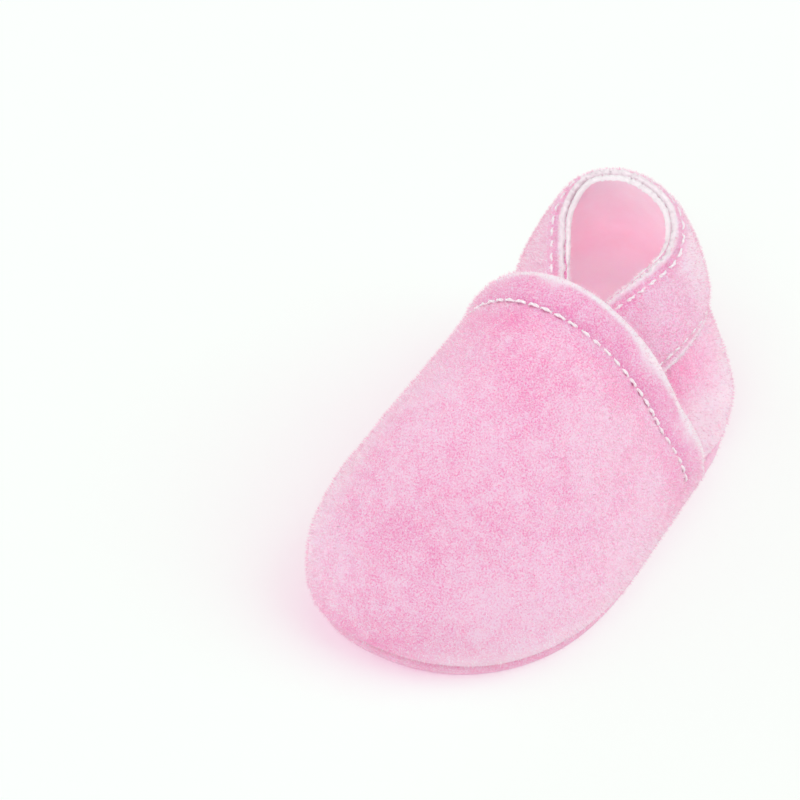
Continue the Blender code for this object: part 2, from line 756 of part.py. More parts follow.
def make_band_thread(name, drop, collection, material):
    """A thread that runs round the casing at a drop below the rim."""
    fine = np.linspace(-BAND_THREAD_REACH, BAND_THREAD_REACH, THREAD_SAMPLES)
    share = share_below_rim(fine, drop)
    length = np.linalg.norm(np.diff(upright(fine, share), axis=0), axis=1).sum()
    count = 2 * round(length / STITCH_LENGTH) + 1
    places = resample(np.column_stack([upright(fine, share), fine]), np.linspace(0, 1, count))[:, 3]
    surface = casing_lift(drop) + SUEDE / 2
    lifts = stitch_lifts(count, surface + GAP + THREAD_RADIUS, THREAD_RADIUS / 2)
    points = wall_point(places, share_below_rim(places, drop), lifts)
    make_thread(name, points, THREAD_RADIUS, False, collection, material)


def make_seam_thread(collection, material):
    """The closing thread, lying on the seam allowances inside the bootie."""
    points = closed_outline(OUTLINE_POINTS)
    inward = inward_normals(points, closed=True)
    lap = tuck_share(points[:, 1]) * smooth_step((points[:, 1] - QUARTER_FRONT_Y + TUCK_FADE) / TUCK_FADE)
    top = vamp_flange_height() + SUEDE + lap * (SUEDE + GAP)
    height = top + GAP + SEAM_THREAD_RADIUS
    plan = points + inward * SEAM_THREAD_INSET
    path = np.column_stack([plan, height])
    make_thread("sole_seam_stitching", path, SEAM_THREAD_RADIUS, True, collection, material)


def make_threads(collection):
    """The four rows of stitching."""
    white = {}
    for name in ("throat_thread", "band_top_thread", "band_bottom_thread", "seam_thread"):
        white[name] = make_material(name, THREAD_WHITE, THREAD_ROUGHNESS)
    make_throat_thread(collection, white["throat_thread"])
    make_band_thread("band_top_stitching", TOP_STITCH_DROP, collection, white["band_top_thread"])
    make_band_thread("band_bottom_stitching", BOTTOM_STITCH_DROP, collection, white["band_bottom_thread"])
    make_seam_thread(collection, white["seam_thread"])


def main():
    """Build the bootie."""
    clear_scene()
    collection = part_collection()
    make_sole(collection, make_material("sole_suede", SUEDE_DEEP_PINK, SUEDE_ROUGHNESS))
    make_insole(collection, make_material("fleece", FLEECE_PINK, FLEECE_ROUGHNESS))
    make_vamp(collection, make_material("vamp_suede", SUEDE_PINK, SUEDE_ROUGHNESS))
    make_quarter(collection, make_material("quarter_suede", SUEDE_PINK, SUEDE_ROUGHNESS))
    make_band(collection, make_material("band_suede", SUEDE_PINK, SUEDE_ROUGHNESS))
    make_elastic(collection, make_material("elastic", ELASTIC_WHITE, ELASTIC_ROUGHNESS))
    make_threads(collection)


main()
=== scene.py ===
"""Looks of the suede baby bootie: napped suede, sewn stitches, raw cut edges and a fleece insole."""
import logging
import math
from dataclasses import dataclass
from enum import Enum

import bmesh
import bpy
import numpy as np
from mathutils import Matrix, Vector, noise


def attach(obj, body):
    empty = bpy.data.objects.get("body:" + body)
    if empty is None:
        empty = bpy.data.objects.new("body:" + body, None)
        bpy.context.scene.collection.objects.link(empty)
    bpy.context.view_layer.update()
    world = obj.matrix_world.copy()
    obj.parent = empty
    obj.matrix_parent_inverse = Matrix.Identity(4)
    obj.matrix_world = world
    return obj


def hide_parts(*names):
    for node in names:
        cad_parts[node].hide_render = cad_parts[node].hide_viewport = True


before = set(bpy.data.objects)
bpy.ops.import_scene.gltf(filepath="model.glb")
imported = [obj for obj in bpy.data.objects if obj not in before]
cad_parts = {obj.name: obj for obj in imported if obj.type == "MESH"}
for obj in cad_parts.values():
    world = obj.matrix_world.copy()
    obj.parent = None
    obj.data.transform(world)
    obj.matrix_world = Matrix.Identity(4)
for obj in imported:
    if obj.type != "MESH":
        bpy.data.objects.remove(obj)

LOG = logging.getLogger("bootie")
MM = 0.001
ROOT = "root"
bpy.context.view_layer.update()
Colour = tuple[float, float, float, float]


def srgb(red: int, green: int, blue: int) -> Colour:
    """Turn a colour as it looks on screen into the linear values that a shader takes.

    Args:
        red: From 0 to 255.
        green: From 0 to 255.
        blue: From 0 to 255.

    Returns:
        The colour, opaque.
    """
    linear = []
    for value in (red, green, blue):
        share = value / 255
        linear.append(share / 12.92 if share <= 0.04045 else ((share + 0.055) / 1.055) ** 2.4)
    return (linear[0], linear[1], linear[2], 1.0)


def smooth_step(value: np.ndarray | float) -> np.ndarray:
    """Ease from 0 to 1 with level ends."""
    clipped = np.clip(value, 0.0, 1.0)
    return clipped * clipped * (3.0 - 2.0 * clipped)


def bell(distance: np.ndarray | float, width: np.ndarray | float) -> np.ndarray:
    """Fall smoothly from 1 at no distance to nearly 0 past twice a width."""
    return np.exp(-(np.asarray(distance) / width) ** 2)


def unit(vectors: np.ndarray) -> np.ndarray:
    """Scale vectors along the last axis to length 1."""
    length = np.linalg.norm(vectors, axis=-1, keepdims=True)
    return vectors / np.maximum(length, 1e-12)


def on_plan(plan: np.ndarray, height: np.ndarray | float) -> np.ndarray:
    """Put plan points at a height, one for all or one for each."""
    return np.column_stack([plan, np.broadcast_to(height, len(plan))])


def travelled(points: np.ndarray) -> np.ndarray:
    """Length travelled along a polyline up to each of its points."""
    return np.concatenate([[0.0], np.cumsum(np.linalg.norm(np.diff(points, axis=0), axis=1))])


def resample(points: np.ndarray, shares: np.ndarray) -> np.ndarray:
    """Take points of a polyline at shares of its length.

    Args:
        points: The polyline, one row a point.
        shares: Places along it, from 0 to 1.

    Returns:
        One row for each share.
    """
    travel = travelled(points[:, :3])
    wanted = np.asarray(shares) * travel[-1]
    columns = [np.interp(wanted, travel, points[:, axis]) for axis in range(points.shape[1])]
    return np.column_stack(columns)


def bumps(points: np.ndarray, size: float, seed: int, octaves: int = 1) -> np.ndarray:
    """Smooth noise at each point, about -1 to 1.

    Args:
        points: Places in metres.
        size: Width of one bump in metres.
        seed: Chooses the pattern.
        octaves: How many finer layers are added.

    Returns:
        One value for each point.
    """
    offset = Vector((seed * 7.31, seed * 3.17, seed * 5.73))
    flat = points.reshape(-1, 3)
    total = np.zeros(len(flat))
    for octave in range(octaves):
        scale = 2 ** octave / size
        layer = [noise.noise(Vector(point) * scale + offset) for point in flat]
        total += np.array(layer) / 2 ** octave
    return total.reshape(points.shape[:-1])


def add_object(name: str, data: bpy.types.ID) -> bpy.types.Object:
    """Put data into the scene as an object at the origin.

    Args:
        name: The object's name.
        data: Its mesh, light or camera.

    Returns:
        The object.
    """
    item = bpy.data.objects.new(name, data)
    bpy.context.scene.collection.objects.link(item)
    return item


def dress(name: str, builder: bmesh.types.BMesh, materials: list[bpy.types.Material]) -> bpy.types.Object:
    """Turn a finished builder into a smooth object with its materials.

    Args:
        name: The object's name.
        builder: The shape, which is freed.
        materials: One for each slot.

    Returns:
        The object.
    """
    mesh = bpy.data.meshes.new(name)
    builder.to_mesh(mesh)
    builder.free()
    mesh.shade_smooth()
    for material in materials:
        mesh.materials.append(material)
    return add_object(name, mesh)


# ------------------------------------------------------------------ the bootie's form

@dataclass
class BootieForm:
    """Sizes of the bootie and the smooth surfaces that every piece is laid on."""

    length: float = 116 * MM
    ball_half_width: float = 30.5 * MM
    heel_half_width: float = 28.5 * MM
    waist_inset: float = 0.7 * MM
    toe_cap: float = 35 * MM
    heel_cap: float = 29 * MM
    toe_squareness: float = 2.3
    heel_squareness: float = 2.05
    sideways_bend: float = -5.5 * MM
    bend_balance: float = 0.33
    suede: float = 1.3 * MM
    sole: float = 1.4 * MM
    gap: float = 0.3 * MM
    rim_height: float = 3.5 * MM
    fold: float = 0.9 * MM
    allowance: float = 5.0 * MM
    allowance_middle: float = 2.4 * MM
    fold_turns: tuple[int, ...] = (30, 60, 90)
    throat_height: float = 59 * MM
    ball_drop: float = 9.5 * MM
    drop_power: float = 1.3
    throat_centre_y: float = 7 * MM
    throat_side_y: float = 21 * MM
    roundness: float = 2.0
    bulge: float = 2.3 * MM
    bulge_height: float = 22 * MM
    hem_depth: float = 10.5 * MM
    roll_radius: float = 1.05 * MM
    hem_stitch: float = 7.4 * MM
    hem_taper: float = 0.08
    quarter_front_y: float = 9 * MM
    tuck_fade: float = 17 * MM
    foot_tuck: float = 2.1 * MM
    waist_tuck: float = 2.7 * MM
    waist_height: float = 16 * MM
    heel_bulge: float = 1.9 * MM
    band_width: float = 19.5 * MM
    elastic_width: float = 12 * MM
    elastic: float = 0.8 * MM
    collar_height: float = 59.5 * MM
    top_stitch: float = 2.4 * MM
    bottom_stitch: float = 17.1 * MM
    stitch_pitch: float = 3.2 * MM
    band_shape: tuple[tuple[float, float, float], ...] = (
        (0.55, 0.155, 0.515), (0.63, 0.310, 0.538), (0.70, 0.500, 0.556),
        (0.68, 0.705, 0.600), (0.42, 0.845, 0.670), (0.0, 0.890, 0.710))
    rim_shape: tuple[tuple[float, float, float], ...] = (
        (0.09, 0.180, 0.730), (0.155, 0.335, 0.758), (0.315, 0.500, 0.808),
        (0.43, 0.645, 0.865), (0.33, 0.745, 0.957), (0.0, 0.775, 1.0))

    @property
    def ball_y(self) -> float:
        """Where the toe cap begins."""
        return -self.length / 2 + self.toe_cap

    @property
    def heel_y(self) -> float:
        """Where the heel cap begins."""
        return self.length / 2 - self.heel_cap

    @property
    def flange_height(self) -> float:
        """Underside of the upper's seam allowance."""
        return self.rim_height + self.gap

    @property
    def foot_height(self) -> float:
        """Height at which the sheets stop folding and stand up."""
        return self.flange_height + self.suede / 2 + self.fold

    @property
    def tuck_end_y(self) -> float:
        """Where the quarter comes out from under the vamp's hem."""
        return self.throat_side_y + self.roll_radius + self.suede

    @property
    def stitch_drops(self) -> tuple[float, float]:
        """How far below the rim the band's two rows of stitches run."""
        return self.top_stitch, self.bottom_stitch

    def bend(self, points: np.ndarray) -> np.ndarray:
        """Bend the straight layout to the foot's curve.

        Args:
            points: Places in the straight layout.

        Returns:
            The bent places.
        """
        bent = np.array(points, dtype=float)
        share = bent[..., 1] / (self.length / 2)
        bent[..., 0] += self.sideways_bend * (share * share - self.bend_balance)
        return bent

    def settle(self, builder: bmesh.types.BMesh) -> None:
        """Bend a builder's shape with the foot and make its faces agree.

        Args:
            builder: The shape in the straight layout.
        """
        for vertex in builder.verts:
            vertex.co = self.bend(np.array(vertex.co))
        bmesh.ops.recalc_face_normals(builder, faces=builder.faces)

    def fold_under(self, plan: np.ndarray, inward: np.ndarray, base: np.ndarray) -> list[np.ndarray]:
        """Lay out how an upper's foot folds in and ends in its seam allowance.

        Args:
            plan: The foot's plan points.
            inward: Directions towards the sole's middle.
            base: Height of the allowance's middle at each point.

        Returns:
            One row of points for each step inwards.
        """
        rows = []
        for angle in np.radians(self.fold_turns):
            inset = self.fold * (1 - math.cos(angle))
            rows.append(on_plan(plan + inward * inset, base + self.fold * (1 - math.sin(angle))))
        for reach in (self.allowance_middle, self.allowance):
            rows.append(on_plan(plan + inward * reach, base))
        return rows

    def half_width(self, y: np.ndarray) -> np.ndarray:
        """Half width of the outline at y, caps included.

        Args:
            y: Place along the foot.

        Returns:
            The half width in metres.
        """
        travel = np.clip((y - self.ball_y) / (self.heel_y - self.ball_y), 0.0, 1.0)
        waist = self.waist_inset * np.sin(math.pi * travel) ** 2
        change = (self.heel_half_width - self.ball_half_width) * smooth_step(travel)
        width = self.ball_half_width + change - waist
        toe = np.clip((self.ball_y - y) / self.toe_cap, 0.0, 1.0)
        heel = np.clip((y - self.heel_y) / self.heel_cap, 0.0, 1.0)
        toe_share = (1 - toe ** self.toe_squareness) ** (1 / self.toe_squareness)
        heel_share = (1 - heel ** self.heel_squareness) ** (1 / self.heel_squareness)
        return width * toe_share * heel_share

    def cap_point(self, angle: np.ndarray, half: float, length: float,
                  squareness: float) -> tuple[np.ndarray, np.ndarray]:
        """Point of a round end cap, from its side to its tip at a quarter turn.

        Args:
            angle: Angle from the side.
            half: Half the cap's width.
            length: The cap's length.
            squareness: 2 for an ellipse, more for a blunter cap.

        Returns:
            Distances across and along.
        """
        cosine = np.cos(angle)
        sine = np.sin(angle)
        radius = (np.abs(cosine) ** squareness + np.abs(sine) ** squareness) ** (-1 / squareness)
        return half * radius * cosine, length * radius * sine

    def side_outline(self) -> np.ndarray:
        """Trace the outline of the +X side.

        Returns:
            Dense plan points, from the toe tip to the heel tip.
        """
        angles = np.linspace(math.pi / 2, 0.0, 90)
        toe_x, toe_y = self.cap_point(angles, self.ball_half_width, self.toe_cap, self.toe_squareness)
        side_y = np.linspace(self.ball_y, self.heel_y, 60)[1:-1]
        heel_x, heel_y = self.cap_point(angles[::-1], self.heel_half_width, self.heel_cap,
                                        self.heel_squareness)
        toe = np.column_stack([toe_x, self.ball_y - toe_y])
        side = np.column_stack([self.half_width(side_y), side_y])
        heel = np.column_stack([heel_x, self.heel_y + heel_y])
        return np.vstack([toe, side, heel])

    def closed_outline(self, count: int) -> tuple[np.ndarray, np.ndarray]:
        """Trace the outline all round.

        Args:
            count: How many points.

        Returns:
            Plan points, anticlockwise from the toe tip, and their inward directions.
        """
        side = self.side_outline()
        loop = np.vstack([side, side[-2:0:-1] * [-1.0, 1.0], side[:1]])
        flat = on_plan(loop, 0.0)
        points = resample(flat, np.arange(count) / count)[:, :2]
        tangent = np.roll(points, -1, axis=0) - np.roll(points, 1, axis=0)
        return points, unit(np.column_stack([-tangent[:, 1], tangent[:, 0]]))

    def inside_sole(self, across: np.ndarray, along: np.ndarray, inset: float) -> np.ndarray:
        """Map a square of -1 to 1 onto the sole's outline drawn in by an inset.

        Args:
            across: Square's x.
            along: Square's y.
            inset: Distance inside the outline in metres.

        Returns:
            Plan points in the straight layout.
        """
        disc_x = across * np.sqrt(1 - along * along / 2)
        disc_y = along * np.sqrt(1 - across * across / 2)
        chord = np.sqrt(np.maximum(1 - disc_y * disc_y, 1e-9))
        y = disc_y * (self.length / 2)
        width = self.half_width(np.clip(y, -self.length / 2 + 1e-6, self.length / 2 - 1e-6))
        shrink = 1 - inset / self.ball_half_width
        shrink_y = 1 - inset / (self.length / 2)
        return np.stack([disc_x / chord * width * shrink, y * shrink_y], axis=-1)

    # -------------------------------------------------------------- vamp

    def dome_height(self, y: np.ndarray) -> np.ndarray:
        """Ridge height of the vamp at y."""
        travel = (self.throat_centre_y - y) / (self.throat_centre_y - self.ball_y)
        return self.throat_height - self.ball_drop * np.sign(travel) * np.abs(travel) ** self.drop_power

    def raise_dome(self, centre: np.ndarray, foot: np.ndarray, angle: np.ndarray) -> np.ndarray:
        """Lift a plan line from centre to foot into the dome's rounded section.

        Args:
            centre: Plan points under the ridge.
            foot: Plan points at the outline.
            angle: 0 at the foot, a quarter turn at the ridge.

        Returns:
            Points on the dome.
        """
        base = self.foot_height
        outward = unit(foot - centre)
        inset_foot = foot - outward * self.suede / 2
        reach = np.cos(angle) ** (2 / self.roundness)
        lift = np.sin(angle) ** (2 / self.roundness)
        plan = centre + reach[..., None] * (inset_foot - centre)
        height = base + (self.dome_height(plan[..., 1]) - base) * lift
        share = np.clip((height - base) / self.bulge_height, 0.0, 1.0)
        plan = plan + outward * (self.bulge * np.sin(math.pi * share ** 0.75))[..., None]
        return np.concatenate([plan, height[..., None]], axis=-1)

    def dome_point(self, across: np.ndarray, travel: np.ndarray | float) -> np.ndarray:
        """Middle of the vamp's sheet.

        Args:
            across: -1 at one side's seam to 1 at the other's.
            travel: 0 at the throat, 1 at the ball and 2 at the toe tip.

        Returns:
            Points in the straight layout.
        """
        across = np.asarray(across, dtype=float)
        travel = np.asarray(travel, dtype=float) + np.zeros_like(across)
        side = np.where(across < 0, -1.0, 1.0)
        angle = (1 - np.abs(across)) * math.pi / 2
        throat = self.throat_side_y + (self.throat_centre_y - self.throat_side_y) * np.sin(angle)
        y = throat + (self.ball_y - throat) * np.minimum(travel, 1.0)
        centre = np.stack([np.zeros_like(y), y], axis=-1)
        foot = np.stack([side * self.half_width(y), y], axis=-1)
        upper = self.raise_dome(centre, foot, angle)
        share = np.clip(travel - 1, 0.0, 1.0)
        plan_x = across * np.sqrt(1 - share * share / 2)
        plan_y = share * np.sqrt(1 - across * across / 2)
        radius = np.clip(np.hypot(plan_x, plan_y), 0.0, 1.0)
        heading = np.arctan2(plan_y, np.abs(plan_x))
        cap_x, cap_y = self.cap_point(heading, self.ball_half_width, self.toe_cap, self.toe_squareness)
        foot = np.stack([side * cap_x, self.ball_y - cap_y], axis=-1)
        centre = np.stack([np.zeros_like(cap_x), np.full_like(cap_x, self.ball_y)], axis=-1)
        toe = self.raise_dome(centre, foot, (1 - radius) * math.pi / 2)
        return np.where((travel <= 1)[..., None], upper, toe)

    def dome_frame(self, across: np.ndarray, travel: np.ndarray | float) -> tuple[np.ndarray, np.ndarray]:
        """How the dome faces at each place.

        Args:
            across: The dome's across values.
            travel: The dome's travel values.

        Returns:
            Unit outward normals and unit directions towards the throat.
        """
        step = 0.004
        across = np.asarray(across, dtype=float)
        travel = np.minimum(np.asarray(travel, dtype=float) + np.zeros_like(across), 1.99)
        middle = np.where(np.abs(across) < 1 - step, across, np.sign(across) * (1 - step))
        along = self.dome_point(middle, travel + step) - self.dome_point(middle, travel - step)
        crosswise = self.dome_point(middle + step, travel) - self.dome_point(middle - step, travel)
        return unit(np.cross(along, crosswise)), -unit(along)

    def throat_scale(self, across: np.ndarray) -> np.ndarray:
        """Metres of surface for each unit of travel near the throat."""
        return np.linalg.norm(self.dome_point(across, 0.1) - self.dome_point(across, 0.0), axis=-1) / 0.1

    def hem_spread(self, distance: float) -> float:
        """Spacing of the hem's two layers, wide at the roll and close at the stitching.

        Args:
            distance: Metres below the throat edge.

        Returns:
            The spacing in metres.
        """
        closed = self.suede + 0.05 * MM
        share = float(smooth_step(distance / self.hem_stitch))
        return 2 * self.roll_radius + (closed - 2 * self.roll_radius) * share

    # -------------------------------------------------------------- quarter and band

    def shape_line(self, shape: tuple) -> np.ndarray:
        """Scale a shape line, with heights that follow the throat in front and the collar at the heel.

        Args:
            shape: Shares of the heel's half width, half the length and the height.

        Returns:
            The line's points, from one front end to the heel's centre.
        """
        points = []
        for index, (across, along, rise) in enumerate(shape):
            rear = index / (len(shape) - 1)
            height = self.throat_height * (1 - rear) + self.collar_height * rear
            points.append((across * self.heel_half_width, along * self.length / 2, rise * height))
        return np.array(points)

    def spline_through(self, shape: tuple, place: np.ndarray) -> np.ndarray:
        """Run a smooth curve round the heel.

        Args:
            shape: The shape line of one side.
            place: From -1 to 1, with 0 at the heel's centre.

        Returns:
            One point for each place.
        """
        points = self.shape_line(shape)
        knots = np.vstack([points, points[-2::-1] * [-1.0, 1.0, 1.0]])
        knots = np.vstack([2 * knots[0] - knots[1], knots, 2 * knots[-1] - knots[-2]])
        spans = len(knots) - 3
        position = np.clip((np.asarray(place) + 1) / 2 * spans, 0.0, spans - 1e-9)
        index = position.astype(int)
        local = (position - index)[..., None]
        before, start, end, after = (knots[index + shift] for shift in range(4))
        cubic = -before + 3 * start - 3 * end + after
        square = 2 * before - 5 * start + 4 * end - after
        return 0.5 * (2 * start + (end - before) * local + square * local ** 2 + cubic * local ** 3)

    def quarter_outline(self, place: np.ndarray) -> tuple[np.ndarray, np.ndarray]:
        """Find the outline under the quarter.

        Args:
            place: From -1 to 1, with 0 at the heel's centre.

        Returns:
            Plan points and their inward directions.
        """
        side = self.side_outline()
        rear = side[side[:, 1] >= self.quarter_front_y]
        loop = np.vstack([rear, rear[-2::-1] * [-1.0, 1.0]])
        flat = on_plan(loop, 0.0)
        share = (np.asarray(place) + 1) / 2
        points = resample(flat, share)[:, :2]
        ahead = resample(flat, np.clip(share + 1e-3, 0, 1))[:, :2]
        behind = resample(flat, np.clip(share - 1e-3, 0, 1))[:, :2]
        tangent = unit(ahead - behind)
        return points, np.column_stack([-tangent[:, 1], tangent[:, 0]])

    def tuck_share(self, y: np.ndarray) -> np.ndarray:
        """1 where the quarter runs under the vamp, easing to 0 behind the hem's ends."""
        return 1 - smooth_step((y - self.tuck_end_y) / self.tuck_fade)

    def quarter_foot(self, place: np.ndarray) -> tuple[np.ndarray, np.ndarray]:
        """Find the quarter's outer face where it stands up.

        Args:
            place: From -1 to 1, with 0 at the heel's centre.

        Returns:
            Points and their inward directions.
        """
        points, inward = self.quarter_outline(place)
        share = self.tuck_share(points[:, 1])[:, None]
        plan = points + inward * self.foot_tuck * share
        height = self.foot_height + (self.suede + self.gap) * share
        return np.hstack([plan, height]), inward

    def upright(self, place: np.ndarray, share: np.ndarray) -> np.ndarray:
        """Find points of the quarter's outer face.

        Args:
            place: From -1 to 1, with 0 at the heel's centre.
            share: 0 at the foot, 1 at the rim.

        Returns:
            One point for each place.
        """
        foot, inward = self.quarter_foot(place)
        points, _ = self.quarter_outline(place)
        tuck = self.tuck_share(points[:, 1])[:, None]
        waist = points + inward * (self.waist_tuck * tuck - self.heel_bulge * (1 - tuck))
        levels = np.array([foot, np.hstack([waist, np.full_like(tuck, self.waist_height)]),
                           self.spline_through(self.band_shape, place),
                           self.spline_through(self.rim_shape, place)])
        spans = np.linalg.norm(np.diff(levels, axis=0), axis=-1)
        travel = np.vstack([np.zeros(len(foot)), np.cumsum(spans, axis=0)])
        return self.through_levels(levels, travel, np.asarray(share) * travel[-1])

    @staticmethod
    def through_levels(levels: np.ndarray, travel: np.ndarray, wanted: np.ndarray) -> np.ndarray:
        """Run a Hermite curve through four level points.

        Args:
            levels: The four points of each column.
            travel: Their travelled lengths.
            wanted: The length to look up in each column.

        Returns:
            One point for each column.
        """
        slopes = [(levels[1] - levels[0]) / (travel[1] - travel[0])[:, None]]
        for index in (1, 2):
            span = (travel[index + 1] - travel[index - 1])[:, None]
            slopes.append((levels[index + 1] - levels[index - 1]) / span)
        slopes.append((levels[3] - levels[2]) / (travel[3] - travel[2])[:, None])
        slopes[0] = 1.5 * slopes[0] - 0.5 * slopes[1]
        slopes[3] = 1.5 * slopes[3] - 0.5 * slopes[2]
        result = np.zeros_like(levels[0])
        for index in range(3):
            span = travel[index + 1] - travel[index]
            local = (wanted - travel[index]) / span
            inside = (local >= 0) & (local <= 1) if index else local <= 1
            local = local[:, None]
            span = span[:, None]
            curve = (levels[index] * (2 * local ** 3 - 3 * local ** 2 + 1)
                     + slopes[index] * span * (local ** 3 - 2 * local ** 2 + local)
                     + levels[index + 1] * (3 * local ** 2 - 2 * local ** 3)
                     + slopes[index + 1] * span * (local ** 3 - local ** 2))
            result[inside] = curve[inside]
        return result

    def wall_point(self, place: np.ndarray, share: np.ndarray, lift: np.ndarray) -> np.ndarray:
        """Point at a lift outside the quarter's outer face.

        Args:
            place: From -1 to 1, with 0 at the heel's centre.
            share: 0 at the foot, 1 at the rim.
            lift: Metres outside the face.

        Returns:
            One point for each place.
        """
        step = 1e-3
        place = np.asarray(place, dtype=float)
        share = np.asarray(share, dtype=float) + np.zeros_like(place)
        inner = np.clip(place, -1 + step, 1 - step)
        along = self.upright(inner + step, share) - self.upright(inner - step, share)
        high = self.upright(place, np.minimum(share + step, 1.0))
        low = self.upright(place, np.maximum(share - step, 0.0))
        outward = unit(np.cross(along, high - low))
        return self.upright(place, share) + outward * (np.asarray(lift) + np.zeros_like(place))[:, None]

    def drop_table(self, place: np.ndarray) -> tuple[np.ndarray, np.ndarray]:
        """Measure down the quarter from its rim.

        Args:
            place: From -1 to 1, with 0 at the heel's centre.

        Returns:
            Shares, and the length travelled to each at each place.
        """
        samples = np.linspace(1.0, 0.0, 80)
        curve = np.array([self.upright(place, np.full_like(place, value)) for value in samples])
        steps = np.linalg.norm(np.diff(curve, axis=0), axis=-1)
        return samples, np.vstack([np.zeros(len(place)), np.cumsum(steps, axis=0)])

    @staticmethod
    def share_at(table: tuple[np.ndarray, np.ndarray], drop: float | np.ndarray) -> np.ndarray:
        """Look up the share of the wall's height at a drop below the rim.

        Args:
            table: What drop_table gave.
            drop: Metres below the rim, one for all or one for each place.

        Returns:
            The share at each place.
        """
        samples, travel = table
        drops = np.broadcast_to(drop, travel.shape[1])
        return np.array([np.interp(drops[column], travel[:, column], samples)
                         for column in range(travel.shape[1])])

    def casing_lift(self, drop: float) -> float:
        """Height of the casing's middle, raised over the elastic and close to the quarter at both edges.

        Args:
            drop: Metres below the rim.

        Returns:
            The height in metres.
        """
        low = self.gap * 0.25 + self.suede / 2
        high = 2 * self.gap + self.elastic + self.suede / 2
        edge = (self.band_width - self.elastic_width) / 2
        nearest = min(drop, self.band_width - drop)
        return low + (high - low) * float(smooth_step((nearest - 0.35 * edge) / (0.5 * edge)))


# ------------------------------------------------------------------ finishes

class NodeChain:
    """Starts a material and adds and joins its nodes."""

    COLOUR_MIX_INPUTS = (0, 6, 7)
    COLOUR_MIX_OUTPUT = 2

    def __init__(self, name: str) -> None:
        """Start a material with an empty node tree.

        Args:
            name: The material's name.
        """
        self.material = bpy.data.materials.new(name)
        self.material.use_nodes = True
        self.tree = self.material.node_tree
        self.tree.nodes.clear()

    def feed(self, socket: bpy.types.NodeSocket, value: object) -> None:
        """Join an output to an input, or set the input to a constant.

        Args:
            socket: The input.
            value: Another node's output, or a number or colour.
        """
        if isinstance(value, bpy.types.NodeSocket):
            self.tree.links.new(value, socket)
        else:
            socket.default_value = value

    def add(self, kind: str, inputs: dict[str, object] | None = None, **settings: object) -> bpy.types.Node:
        """Add a node.

        Args:
            kind: The node's type.
            inputs: What its named inputs are fed.
            settings: Values of its properties.

        Returns:
            The new node.
        """
        node = self.tree.nodes.new(kind)
        for name, value in settings.items():
            setattr(node, name, value)
        for name, value in (inputs or {}).items():
            self.feed(node.inputs[name], value)
        return node

    def join(self, kind: str, *values: object, **settings: object) -> bpy.types.NodeSocket:
        """Add a node that is fed in the order of its inputs.

        Args:
            kind: The node's type.
            values: What its first inputs are fed.
            settings: Values of its properties.

        Returns:
            The node's first output.
        """
        node = self.add(kind, **settings)
        for socket, value in zip(node.inputs, values):
            self.feed(socket, value)
        return node.outputs[0]

    def math(self, operation: str, first: object, second: object, **settings: object) -> bpy.types.NodeSocket:
        """Add a math node and return its output."""
        return self.join("ShaderNodeMath", first, second, operation=operation, **settings)

    def place(self) -> bpy.types.NodeSocket:
        """Return the object's own coordinates."""
        return self.add("ShaderNodeTexCoord").outputs["Object"]

    def attribute(self, name: str) -> bpy.types.NodeSocket:
        """Return a painted value of the mesh."""
        return self.add("ShaderNodeAttribute", attribute_name=name).outputs["Fac"]

    def noise(self, place: bpy.types.NodeSocket, size: float, detail: float) -> bpy.types.NodeSocket:
        """Add noise from 0 to 1.

        Args:
            place: The coordinates.
            size: Width of its features in metres.
            detail: How many finer layers it has.

        Returns:
            The noise's value.
        """
        node = self.add("ShaderNodeTexNoise", {"Vector": place, "Scale": 1 / size, "Detail": detail,
                                               "Roughness": 0.6})
        return node.outputs["Fac"]

    def mix(self, share: bpy.types.NodeSocket, low: object, high: object) -> bpy.types.NodeSocket:
        """Mix two colours.

        Args:
            share: How much of the second shows.
            low: The first colour.
            high: The second colour.

        Returns:
            The mixed colour.
        """
        node = self.add("ShaderNodeMix", data_type="RGBA")
        for index, value in zip(self.COLOUR_MIX_INPUTS, (share, low, high)):
            self.feed(node.inputs[index], value)
        return node.outputs[self.COLOUR_MIX_OUTPUT]

    def bump(self, height: bpy.types.NodeSocket, strength: float, distance: float) -> bpy.types.NodeSocket:
        """Turn a height into a changed normal.

        Args:
            height: The relief, 0 to 1.
            strength: How much of it shows.
            distance: The relief's depth in metres.

        Returns:
            The normal.
        """
        node = self.add("ShaderNodeBump", {"Height": height, "Strength": strength, "Distance": distance})
        return node.outputs["Normal"]

    def end(self, surface: bpy.types.NodeSocket) -> bpy.types.Material:
        """Make a shader the material's surface and return the material."""
        self.add("ShaderNodeOutputMaterial", {"Surface": surface})
        return self.material

    def cloth(self, inputs: dict[str, object]) -> bpy.types.Material:
        """End the chain in a cloth's shader with these inputs and return the material."""
        return self.end(self.add("ShaderNodeBsdfPrincipled", inputs).outputs[0])


